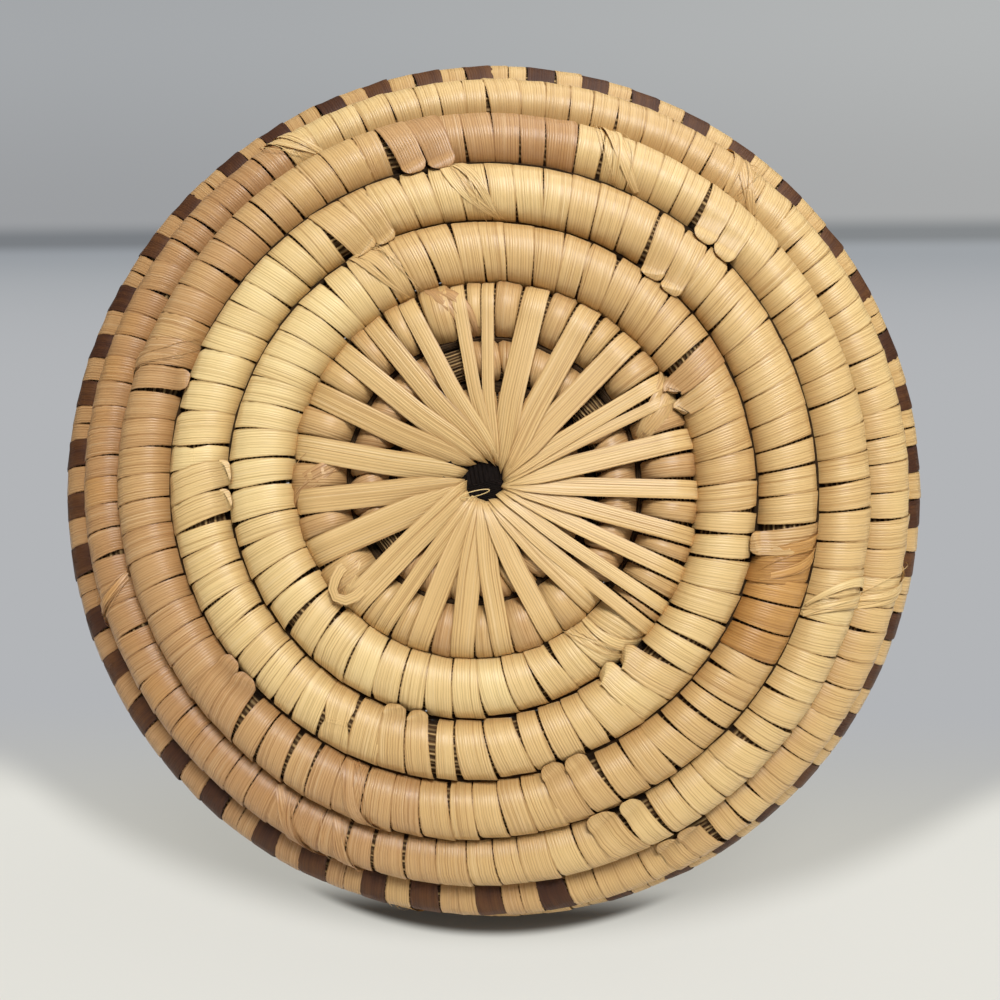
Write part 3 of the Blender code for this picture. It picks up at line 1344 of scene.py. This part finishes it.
    def crossing(self, stitch: Stitch) -> list[Strip]:
        """Fold a torn end and its loose fibres across a stitch.

        Args:
            stitch: The stitch.

        Returns:
            The strips of the end and the fibres.
        """
        dice, torn, made = self.dice, self.torn, []
        share = np.linspace(0, 1, torn.count)
        for number in range(torn.strands):
            thin = number >= torn.wide_strands
            angle = np.radians(torn.start - torn.sweep * share)
            angle = angle + (torn.angle_spread * dice.normal() if thin else 0)
            shift = torn.shift + torn.shift_spread * dice.normal()
            shift = shift + (torn.across + torn.across_spread * dice.normal()) * share
            shift = shift + torn.bend * dice.normal() * np.sin(math.pi * share)
            proud = (torn.proud + torn.strand_proud * number) * (0.5 + np.sin(math.pi * share))
            points, away, half = self.laid(stitch, angle, shift, proud)
            half = half * (torn.width_share - torn.taper_share * share)
            half = half * (1 - torn.strand_taper * number)
            if thin:
                half = np.full(torn.count, torn.fibre_half)
            tone = self._undyed(stitch.tone + torn.tone_step + torn.tone_step * dice.normal())
            seed = dice.random()
            lift = tilted(away, points, torn.twist * dice.uniform(-1, 1))
            made.append(Strip(points, lift, half, tone, seed))
        return made

    def _seated(self, points: Array) -> Array:
        """Press points near the standing plane up, so that nothing goes below it.

        Args:
            points: The points.

        Returns:
            The pressed points.
        """
        pressed = points.copy()
        deepest = self.seat_level + self.seat_sink
        depth = np.clip(self.seat_level - points[:, 2], 0, deepest)
        pressed[:, 2] += depth ** 2 * (self.seat_sink + self.seat_spare) / deepest ** 2
        return pressed

    def strips(self, start: float, end: float) -> list[Strip]:
        """Make the stitches between two turns.

        Args:
            start: The first turn.
            end: The last turn.

        Returns:
            Their strips.
        """
        made = []
        for stitch in self.stitches:
            if start <= stitch.middle < end:
                made += self.body(stitch)
                made += self.crossing(stitch) if stitch.kind is Break.CROSS else []
        return made


@dataclass
class Starburst:
    """The long splints from the hub, folded over the disc's edge, and the beads between."""

    winding: Winding
    lowest_point: float = 0.125
    half_millimetre: float = 0.0005
    hub_radius: float = 0.0036
    hub_limits: tuple[float, float] = (0.92, 0.16)
    # The bend into the hole: how far past the hub's radius, and how high
    hub_bend: tuple[tuple[float, float], ...] = (
        (-0.0007, 0.0044), (-0.0004, 0.0030), (0.0, 0.0019), (0.0007, 0.0013), (0.0018, 0.0010))
    hub_stack: float = 0.0004
    near_hub: float = 0.0073
    shallow: float = 0.00075
    run_start: float = 0.0034
    run_end_share: float = 0.55
    fold_proud: float = 0.00035
    fold_angles: tuple[float, float] = (-104, 100)
    back_start_share: float = 0.6
    back_end: float = 0.004
    back_dip: float = 0.0004
    cover: float = 1.6
    spare_width: float = 0.0002
    tip: float = 0.07
    tip_spread: float = 0.05
    hub_twist: float = 3
    twist_radius: float = 0.02
    knot_shift: tuple[float, float, float] = (-0.0008, 0.0003, 0.0)
    knot_fade: tuple[float, float] = (0.004, 0.012)
    tone_step: float = 0.09
    shade_spread: float = 0.025
    bead_turn: float = 3.0
    narrowest_bead: float = 0.004
    last_bead_spare: float = 0.01
    bead_shade: float = 0.06
    bead_tip: float = 0.04
    bead_slant: float = 0.1
    bead_proud: float = 0.00012
    bead_pinch: float = 0.2
    past_last: tuple[float, float, float] = (2.0, 2.0, 3.0)
    torn_ends: tuple[tuple[float, Tone], ...] = (
        (1.155, Tone.STRAW), (1.262, Tone.TAN), (1.484, Tone.TAN), (1.695, Tone.HONEY))
    torn_reach: float = 0.014
    torn_seed: float = 0.4

    def __post_init__(self) -> None:
        """Choose each splint's tilt and shade."""
        dice, count = np.random.default_rng(77), len(SPOKES)
        self.heights = dice.random(count)
        self.tips = self.tip + self.tip_spread * dice.random(count)
        self.seeds = dice.random(count)
        self.tones = Tone.HONEY.value - self.tone_step + self.shade_spread * dice.normal(size=count)

    def turn(self, share: float) -> float:
        """The turn on the disc's edge lap at a splint's place."""
        return self.winding.start_turns + self.lowest_point + share - 1

    def spoke(self, index: int) -> Strip:
        """One long splint, from inside the hub round the edge and back to the hub.

        Args:
            index: Its number.

        Returns:
            Its strip.
        """
        outer, inner, width = SPOKES[index]
        turn = self.turn(outer)
        radius, height, _ = (float(x) for x in self.winding.centre(np.array(turn)))
        path = self._section(index, turn, radius, height)
        flat = np.gradient(path, axis=0)
        normal = unit(np.stack((flat[:, 1], -flat[:, 0]), axis=1))
        outward = outwards(self._line(path[:, 0], radius, turn, self.turn(inner)))
        points = outward * path[:, :1] + UP * path[:, 1:]
        lift = outward * normal[:, :1] + UP * normal[:, 1:]
        room = math.pi * path[:, 0] / len(SPOKES) * self.cover + self.spare_width
        half = np.minimum(width * self.half_millimetre, room)
        inside = 1 - np.clip(path[:, 0] / self.twist_radius, 0, 1)
        tilt = self.tips[index] * (1 + self.hub_twist * inside)[:, None]
        lift = tilted(lift, points, tilt)
        aside = 1 - eased(path[:, :1], *self.knot_fade)
        points = points + aside * np.array(self.knot_shift)
        return Strip(points, lift, half, float(self.tones[index]), float(self.seeds[index]))

    def _section(self, index: int, turn: float, radius: float, height: float) -> Array:
        """The path of a long splint in the upright plane that it lies in.

        Args:
            index: Its number.
            turn: The turn at which it folds over the edge lap.
            radius: The radius of that lap's middle.
            height: The height of that lap's middle.

        Returns:
            The path's radii and heights.
        """
        size = float(self.winding.full_radius(np.array(turn))) + self.fold_proud
        least, spread = self.hub_limits
        hub = self.hub_radius * (least + spread * self.heights[index])
        stacked = self.hub_stack * self.heights[index]
        low = [(hub + past, rise) for past, rise in self.hub_bend]
        run = [(r, self.shallow + stacked * (1 - (r - hub) / (radius - hub)) ** 2)
               for r in np.linspace(
                   hub + self.run_start, radius - self.run_end_share * size, 9)]
        fold = [(radius + size * math.cos(a), height + size * math.sin(a))
                for a in np.radians(np.linspace(*self.fold_angles, 13))]
        back = [(r, height + size - self.back_dip * ((radius - r) / radius))
                for r in np.linspace(
                    radius - self.back_start_share * size, hub + self.back_end, 8)]
        return np.array(low + run + fold + back)

    def _line(self, radii: Array, edge: float, outer: float, inner: float) -> Array:
        """The angles at which a straight splint passes some radii.

        Args:
            radii: The radii.
            edge: The radius at its outer place.
            outer: The turn of its outer place.
            inner: The turn of its place near the hub.

        Returns:
            The angles around the axis.
        """
        ends = [reach * np.array((math.cos(a), math.sin(a))) for reach, a in (
            (edge, float(self.winding.azimuth(outer))),
            (self.near_hub, float(self.winding.azimuth(inner))))]
        step = ends[1] - ends[0]
        square, along = step @ step, ends[0] @ step
        left = np.maximum(along ** 2 - square * (ends[0] @ ends[0] - radii ** 2), 0)
        place = ends[0] + step * ((-along - np.sqrt(left)) / square)[:, None]
        return np.arctan2(place[:, 1], place[:, 0])

    def beads(self, wraps: Wraps) -> list[Strip]:
        """The short stitches on the edge lap between the splints.

        Args:
            wraps: The wraps, which bend them round the bundle.

        Returns:
            Their strips.
        """
        dice = np.random.default_rng(5)
        round_edge = 2 * math.pi * float(self.winding.centre(np.array(self.bead_turn))[0])
        made = []
        for (here, _, wide), (there, _, next_wide) in zip(SPOKES, (*SPOKES[1:], self.past_last)):
            start = self.turn(here) + wide * self.half_millimetre / round_edge
            end = self.turn(there) - next_wide * self.half_millimetre / round_edge
            last = self.winding.disc_turns + self.last_bead_spare
            if end - start < self.narrowest_bead or end > last:
                continue
            shade = Tone.HONEY.value + self.bead_shade + self.bead_shade * dice.normal()
            made += wraps.body(Stitch(
                start=start, end=end, tone=shade, seed=dice.random(),
                tip=self.bead_tip * dice.normal(), slant=self.bead_slant,
                proud=self.bead_proud, pinch=self.bead_pinch))
        for share, tone in self.torn_ends:
            middle = self.turn(share)
            made += wraps.crossing(Stitch(
                middle - self.torn_reach, middle + self.torn_reach, tone.value, self.torn_seed))
        return made

    def spokes(self) -> list[Strip]:
        """All of the long splints, the loose fibre across the hub, and the curled end."""
        return [self.spoke(index) for index in range(len(SPOKES))] + [self.fibre(), self.curl()]

    @staticmethod
    def curl() -> Strip:
        """The curled end that lies over the disc's edge.

        Returns:
            Its strip, whose points and widths are listed in millimetres.
        """
        path = np.array((
            (16.0, -14.4, 1.0), (17.4, -16.3, 0.6), (19.2, -18.0, 0.3), (20.8, -18.7, 0.3),
            (22.4, -18.2, 0.4), (22.9, -16.9, 0.4), (22.5, -15.3, 0.4), (21.7, -13.8, 0.6),
            (20.2, -12.6, 1.0), (18.6, -12.2, 1.6))) / 1000
        half = 0.0009 * np.array((0.9, 1, 1, 0.9, 0.8, 0.8, 0.9, 1, 0.9, 0.7))
        return Strip(path, np.tile(-UP, (len(path), 1)), half, Tone.STRAW.value, 0.3)

    @staticmethod
    def fibre() -> Strip:
        """The thin loose loop of fibre across the hub's hole.

        Returns:
            Its strip.
        """
        angle = np.linspace(0.2, 2 * math.pi + 0.6, 26)
        long, short, lean = 0.0024 * np.cos(angle), 0.00042 * np.sin(angle), 0.24
        points = np.stack((
            0.0006 - long * math.cos(lean) + short * math.sin(lean),
            -0.0018 + long * math.sin(lean) + short * math.cos(lean),
            0.0004 + 0.0002 * np.sin(angle * 0.5)), axis=1)
        lift = np.tile(-UP, (len(points), 1))
        return Strip(points, lift, np.full(len(points), 0.00007), Tone.PALE.value, 0.5)


@dataclass
class Bundle:
    """The stems inside the wraps, the stems packed in the seams, and the tuft in the hub."""

    winding: Winding
    end_room: float = 0.0008
    step: float = 0.0034
    last_lap: float = 1.02
    edge_lead: float = 0.1
    # How far the stems lie under the wraps' face, and how much further on some laps
    depth: float = 0.0005
    edge_depth: float = 0.0002
    base_depth: float = 0.0003
    disc_depth: float = 0.0007
    base_rise: float = 0.00035
    base_start: tuple[float, float] = (3.2, 0.3)
    base_end: tuple[float, float] = (5.7, 0.6)
    packing_proud: float = 0.0002
    disc_packing: float = 0.0011
    packing: float = 0.0006
    # The plug deep in the hub, painted nearly black for the shade in the hole: the heights and
    # radii of its line
    plug_heights: tuple[float, ...] = (0.0030, 0.0042, 0.0058)
    plug_halves: tuple[float, ...] = (0.0048, 0.0086, 0.0086)
    # The tuft that leads into the first lap: angles behind its start, and radii
    tuft_angles: tuple[float, ...] = (2.1, 1.4, 0.7, 0.0)
    tuft_halves: tuple[float, ...] = (0.0013, 0.0019, 0.0023, 0.0024)
    tuft_radius: float = 0.0058
    tuft_height_share: float = 0.62
    # Painted shade of the stems, the packing, the plug and the tuft; over 1 it is nearly black
    shades: tuple[float, float, float, float] = (0.0, 1.0, 1.6, 1.4)

    def build(self) -> bpy.types.Object:
        """Build the bundle as one piece.

        Returns:
            The piece.
        """
        maker = BundleMaker()
        parts = (self._stems(), self._packing(), self._plug(), self._tuft())
        runs, sideways, half = zip(*parts)
        return maker.make("stem_bundle", runs, sideways, half, self.shades)

    def _turns(self) -> Array:
        """Space points evenly along the whole bundle.

        Returns:
            Their turns.
        """
        turns, lengths = self.winding.lengths()
        return np.interp(np.arange(0, lengths[-1] - self.end_room, self.step), lengths, turns)

    def _stems(self) -> tuple[Array, Array, Array]:
        """The stems inside the wraps, all along the winding.

        Returns:
            Their middle line, the directions across it, and their radii.
        """
        winding, turn = self.winding, self._turns()
        radius, height, slope = winding.centre(turn)
        outward = outwards(winding.azimuth(turn))
        wrapped = eased(turn, *self.base_start)
        base = wrapped * (1 - eased(turn, *self.base_end))
        points = outward * radius[:, None] + UP * (height + self.base_rise * base)[:, None]
        sideways = outward * np.cos(slope)[:, None] + UP * np.sin(slope)[:, None]
        edge = (turn > winding.start_turns - self.edge_lead) & (turn < winding.disc_turns)
        half = winding.radius(turn) - self.depth - self.edge_depth * edge
        half = half - self.base_depth * wrapped - self.disc_depth * (turn < winding.start_turns)
        return winding.uneven(points), sideways, half

    def _packing(self) -> tuple[Array, Array, Array]:
        """The thin stems packed into the seam between each lap and the next, painted dark brown as
        the shade in that crease.

        Returns:
            Their line, the directions across it, and their radii.
        """
        winding, turn = self.winding, self._turns()
        seam = turn[turn < winding.total_turns - self.last_lap]
        points, away = winding.skin(seam, np.zeros_like(seam), self.packing_proud)
        across = np.cross(away, unit(np.gradient(points, axis=0)))
        return points, across, np.where(
            seam < winding.disc_turns, self.disc_packing, self.packing)

    def _plug(self) -> tuple[Array, Array, Array]:
        """The plug of stems in the hub, painted nearly black as the shade in the hub's hole.

        Returns:
            Its line, the directions across it, and its radii.
        """
        points = UP * np.array(self.plug_heights)[:, None]
        return points, np.tile((1.0, 0.0, 0.0), (len(points), 1)), np.array(self.plug_halves)

    def _tuft(self) -> tuple[Array, Array, Array]:
        """The tuft of stems that leads out of the hub into the first lap, painted nearly black as
        shade in the hub.

        Returns:
            Its line, the directions across it, and its radii.
        """
        angles = float(self.winding.azimuth(np.zeros(1))[0]) - np.array(self.tuft_angles)
        outward = outwards(angles)
        points = (outward + UP * self.tuft_height_share) * self.tuft_radius
        return points, outward, np.array(self.tuft_halves)


@dataclass
class Basket:
    """The whole basket, put together from its pieces."""

    winding: Winding = field(default_factory=Winding)
    crown: float = 0.035
    disc_crown: float = 0.24
    spoke_crown: float = 0.06
    # For each node of wraps, the turn at which it ends and its slot
    ends: tuple[tuple[str, float, str], ...] = (
        ("start_wrap_inner", 1.5, "pale_splint"),
        ("start_wrap_outer", 2.5, "pale_splint"),
        ("edge_wrap", 3.5, "pale_splint"),
        ("base_wrap_inner", 4.875, "pale_splint"),
        ("base_wrap_outer", 5.71, "straw_splint"),
        ("shoulder_wrap_lower", 6.625, "tan_splint"),
        ("shoulder_wrap_upper", 7.585, "tan_splint"),
        ("band_wrap", 8.585, "dyed_splint"),
        ("wall_wrap_1", 9.75, "tan_splint"),
        ("wall_wrap_2", 10.875, "straw_splint"),
        ("wall_wrap_3", 11.96, "tan_splint"),
        ("rim_wrap", 13.05, "straw_splint"),
        ("tail_wrap", 13.26, "straw_splint"),
    )

    def build(self) -> None:
        """Build every piece and hang it on the frame."""
        maker = SplintMaker()
        wraps = Wraps(self.winding)
        starburst = Starburst(self.winding)
        start = 0.0
        for node, end, slot in self.ends:
            strips = (starburst.beads(wraps) if node == "edge_wrap"
                      else wraps.strips(start, end))
            crown = self.disc_crown if end <= self.winding.disc_turns else self.crown
            self.place(maker.make(f"{node}_splints", strips, crown), slot, node)
            start = end
        spokes = maker.make("starburst_splints", starburst.spokes(), self.spoke_crown)
        self.place(spokes, "pale_splint", *(f"splint_{n:02d}" for n in range(1, 29)))
        self.place(Bundle(self.winding).build(), "grass_bundle", "foundation_bundle")

    @staticmethod
    def place(piece: bpy.types.Object, slot: str, *nodes: str) -> None:
        """Hang a piece on the body and hide the nodes that it stands for.

        Args:
            piece: The piece.
            slot: The record's material slot. Not used.
            nodes: The nodes that it replaces.
        """
        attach(piece, "root")
        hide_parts(*nodes)
        LOG.info("%s: %d faces", piece.name, len(piece.data.polygons))


@dataclass(frozen=True)
class TableFinish:
    """Pale card that greys into a far wall, seen from the front only. To camera rays it glows with
    painted light and shade: painted shadows round and under the basket, painted shade greying the
    far table and its join with the wall, a wall painted lighter towards the top, and painted shade
    on one side.

    Each fade has the two places between which its colour comes in.
    """

    name: str = "table"
    paper: Colour = linear(228, 225, 217)
    # The table's painted light, painted shade and painted contact shadow
    lit: Colour = linear(227, 226, 219)
    near_shade: Colour = linear(189, 188, 181)
    far_shade: Colour = linear(179, 181, 184)
    contact_shadow: Colour = linear(26, 20, 13)
    # Painted shade further back: the far table greys, and darkens at its join with the wall
    depth_shade_fades: tuple[tuple[float, float, Colour], ...] = (
        (0.4, 1.8, linear(160, 164, 168)),
        (1.9, 2.5, linear(134, 137, 139)),
    )
    # Painted light: the wall lighter towards the top
    wall_light_fades: tuple[tuple[float, float, Colour], ...] = (
        (0.84, 0.91, linear(171, 172, 172)),
        (0.92, 1.40, linear(180, 182, 182)),
    )
    wall_depth: tuple[float, float] = (2.30, 2.50)
    # Painted shade on one side
    side_shade: Colour = (0.82, 0.83, 0.86)

    def material(self) -> bpy.types.Material:
        """Build the material, which reads Object coordinates.

        Returns:
            The material.
        """
        made, graph = new_material(self.name)
        place = graph.node("ShaderNodeTexCoord")
        side, rise, depth = graph.split(graph.out(place, "Object"))
        # Painted shadows: a wide soft one round the basket, and the dark one under it
        near_edge = (depth - side * side * 3.75).ramp(0.029, 0.016)
        wide = 1 - near_edge * depth.ramp(0.080, 0.054)
        tight_shadow = (depth - side * side * 9).ramp(0.0200, 0.0226) * depth.ramp(0.034, 0.026)
        # Painted shade on the table, greyer further back
        shade = graph.mix(depth.ramp(0.04, 0.10), self.near_shade, self.far_shade)
        colour = graph.mix(tight_shadow * 0.95, graph.mix(wide, self.lit, shade), self.contact_shadow)
        # Painted shade of the far table and its join with the wall
        for low, high, far in self.depth_shade_fades:
            colour = graph.mix(depth.ramp(low, high), colour, far)
        # Painted light: the wall lighter towards the top
        for low, high, wall in self.wall_light_fades:
            colour = graph.mix(rise.ramp(low, high) * depth.ramp(*self.wall_depth), colour, wall)
        # Painted shade: one side dimmer
        dim = graph.mix(1.0, colour, self.side_shade, "MULTIPLY")
        colour = graph.mix(side.ramp(-1.5, 1.5) * depth.ramp(1.2, 2.5), colour, dim)
        seen = graph.out(graph.node("ShaderNodeLightPath"), "Is Camera Ray")
        back = graph.out(graph.node("ShaderNodeNewGeometry"), "Backfacing")
        paper = graph.node("ShaderNodeBsdfDiffuse", inputs={"Color": (*self.paper, 1)})
        # For camera rays the card glows with these painted colours, though it is no lamp
        glow = graph.node("ShaderNodeEmission", inputs={"Color": colour, "Strength": 1.0})
        card = graph.blend(seen * depth.ramp(0.02, 0.08, 0.84, 1.0), paper, glow)
        graph.finish(graph.blend(back, card, graph.node("ShaderNodeBsdfTransparent")))
        return made


@dataclass(frozen=True)
class FloorFinish:
    """A pale floor for views from above, and nothing for any other ray."""

    name: str = "floor"
    paper: Colour = linear(226, 225, 221)

    def material(self) -> bpy.types.Material:
        """Build the material.

        Returns:
            The material.
        """
        made, graph = new_material(self.name)
        seen = graph.out(graph.node("ShaderNodeLightPath"), "Is Camera Ray")
        back = graph.out(graph.node("ShaderNodeNewGeometry"), "Backfacing")
        paper = graph.node("ShaderNodeBsdfDiffuse", inputs={"Color": (*self.paper, 1)})
        clear = graph.node("ShaderNodeBsdfTransparent")
        graph.finish(graph.blend(seen * (1 - back), clear, paper))
        return made


@dataclass
class Studio:
    """The camera, the lamps, and the two floors."""

    eye: tuple[float, float, float] = (-0.0109, -0.0079, -0.1527)
    yaw: float = math.radians(2.81)
    pitch: float = math.radians(1.91)
    roll: float = math.radians(-0.33)
    focal_pixels: float = 980.0
    frame_pixels: float = 1000.0
    sensor: float = 36.0
    nearest: float = 0.005
    # Each soft lamp: its name, place, size and power
    soft_lamps: tuple[tuple[str, tuple[float, float, float], float, float], ...] = (
        ("window", (-0.11, 0.34, -0.51), 0.24, 3.95),
        ("ceiling", (-0.28, 0.80, -0.10), 0.7, 2.2),
        ("far_side", (0.25, 0.30, 0.85), 0.7, 1.4),
    )
    # The table: its lean, a point on it, and how it runs back and bends up into the wall
    table_lean: float = math.radians(19.4)
    table_foot: tuple[float, float, float] = (0, -0.0766, 0.026)
    table_rows: tuple[float, ...] = (-0.6, -0.3, -0.1, 0.0, 0.1, 0.3, 0.7, 1.4, 2.1, 2.7)
    table_half_width: float = 6.0
    wall_bend: float = 0.12
    wall_height: float = 5.0
    floor_half: float = 2.5
    daylight: tuple[float, float, float] = (0.98, 0.99, 1.0)
    daylight_strength: float = 0.17
    behind: Colour = linear(214, 215, 215)

    def build(self) -> None:
        """Set up the stage."""
        self.camera()
        self.lamps()
        self.table()
        self.floor()
        self.world()
        bpy.context.scene.view_settings.view_transform = "Standard"

    def camera(self) -> None:
        """Put the camera under the basket, as in the photograph."""
        data = bpy.data.cameras.new("camera")
        data.sensor_width = self.sensor
        data.lens = data.sensor_width * self.focal_pixels / self.frame_pixels
        data.clip_start = self.nearest
        camera = show(bpy.data.objects.new("camera", data))
        ahead, up, right = Vector((0, 0, 1)), Vector((0, 1, 0)), Vector((-1, 0, 0))
        turned = (Matrix.Rotation(self.yaw, 3, up) @ Matrix.Rotation(self.pitch, 3, right)
                  @ Matrix.Rotation(self.roll, 3, ahead))
        axes = Matrix((turned @ right, turned @ up, -(turned @ ahead))).transposed()
        camera.matrix_world = Matrix.Translation(self.eye) @ axes.to_4x4()
        bpy.context.scene.camera = camera

    def lamps(self) -> None:
        """Hang the soft lamps."""
        for name, place, size, power in self.soft_lamps:
            data = bpy.data.lights.new(name, "AREA")
            data.shape, data.size, data.energy = "DISK", size, power
            lamp = show(bpy.data.objects.new(name, data))
            lamp.location = place
            lamp.rotation_euler = (-Vector(place)).to_track_quat("-Z", "Y").to_euler()

    def table(self) -> None:
        """The table that the photographed basket leans on, with the wall behind it."""
        foot, lean = Vector(self.table_foot), self.table_lean
        away = Vector((0, math.sin(lean), math.cos(lean)))
        up = Vector((0, math.cos(lean), -math.sin(lean)))
        end, bend = self.table_rows[-1], self.wall_bend
        rows = [(along, 0.0) for along in self.table_rows]
        rows += [(end + bend * math.sin(a), bend * (1 - math.cos(a)))
                 for a in np.radians(np.linspace(15, 90, 6))]
        rows.append((end + bend, self.wall_height))
        points = [foot + away * along + up * rise + Vector((x, 0, 0))
                  for along, rise in rows
                  for x in (-self.table_half_width, self.table_half_width)]
        faces = [(2 * row + 1, 2 * row, 2 * row + 2, 2 * row + 3)
                 for row in range(len(rows) - 1)]
        self.stage("table", points, faces, TableFinish().material())

    def floor(self) -> None:
        """The level floor under the standing basket, which only a camera above it sees."""
        corners = [(x * self.floor_half, y * self.floor_half, 0)
                   for x, y in ((-1, -1), (1, -1), (1, 1), (-1, 1))]
        self.stage("floor", corners, [(0, 1, 2, 3)], FloorFinish().material())

    @staticmethod
    def stage(name: str, points: Sequence, faces: Sequence, material: bpy.types.Material) -> None:
        """Add a piece of the stage.

        Args:
            name: Its name.
            points: Its points.
            faces: Its faces, as numbers of points.
            material: Its finish.
        """
        mesh = bpy.data.meshes.new(name)
        mesh.from_pydata([tuple(point) for point in points], [], list(faces))
        mesh.materials.append(material)
        mesh.shade_smooth()
        show(bpy.data.objects.new(name, mesh))

    def world(self) -> None:
        """Plain daylight from all round, and a pale grey behind."""
        world = bpy.data.worlds.new("world")
        bpy.context.scene.world = world
        world.use_nodes = True
        graph = Graph(world.node_tree)
        light = graph.node("ShaderNodeBackground", inputs={
            "Color": (*self.daylight, 1), "Strength": self.daylight_strength})
        seen = graph.node("ShaderNodeBackground", inputs={
            "Color": (*self.behind, 1), "Strength": 1.0})
        path = graph.out(graph.node("ShaderNodeLightPath"), "Is Camera Ray")
        graph.finish(graph.blend(path, light, seen))


def main() -> None:
    """Build the basket and its studio."""
    logging.basicConfig(level=logging.INFO, format="%(name)s: %(message)s")
    Basket().build()
    Studio().build()


if __name__ == "__main__":
    main()
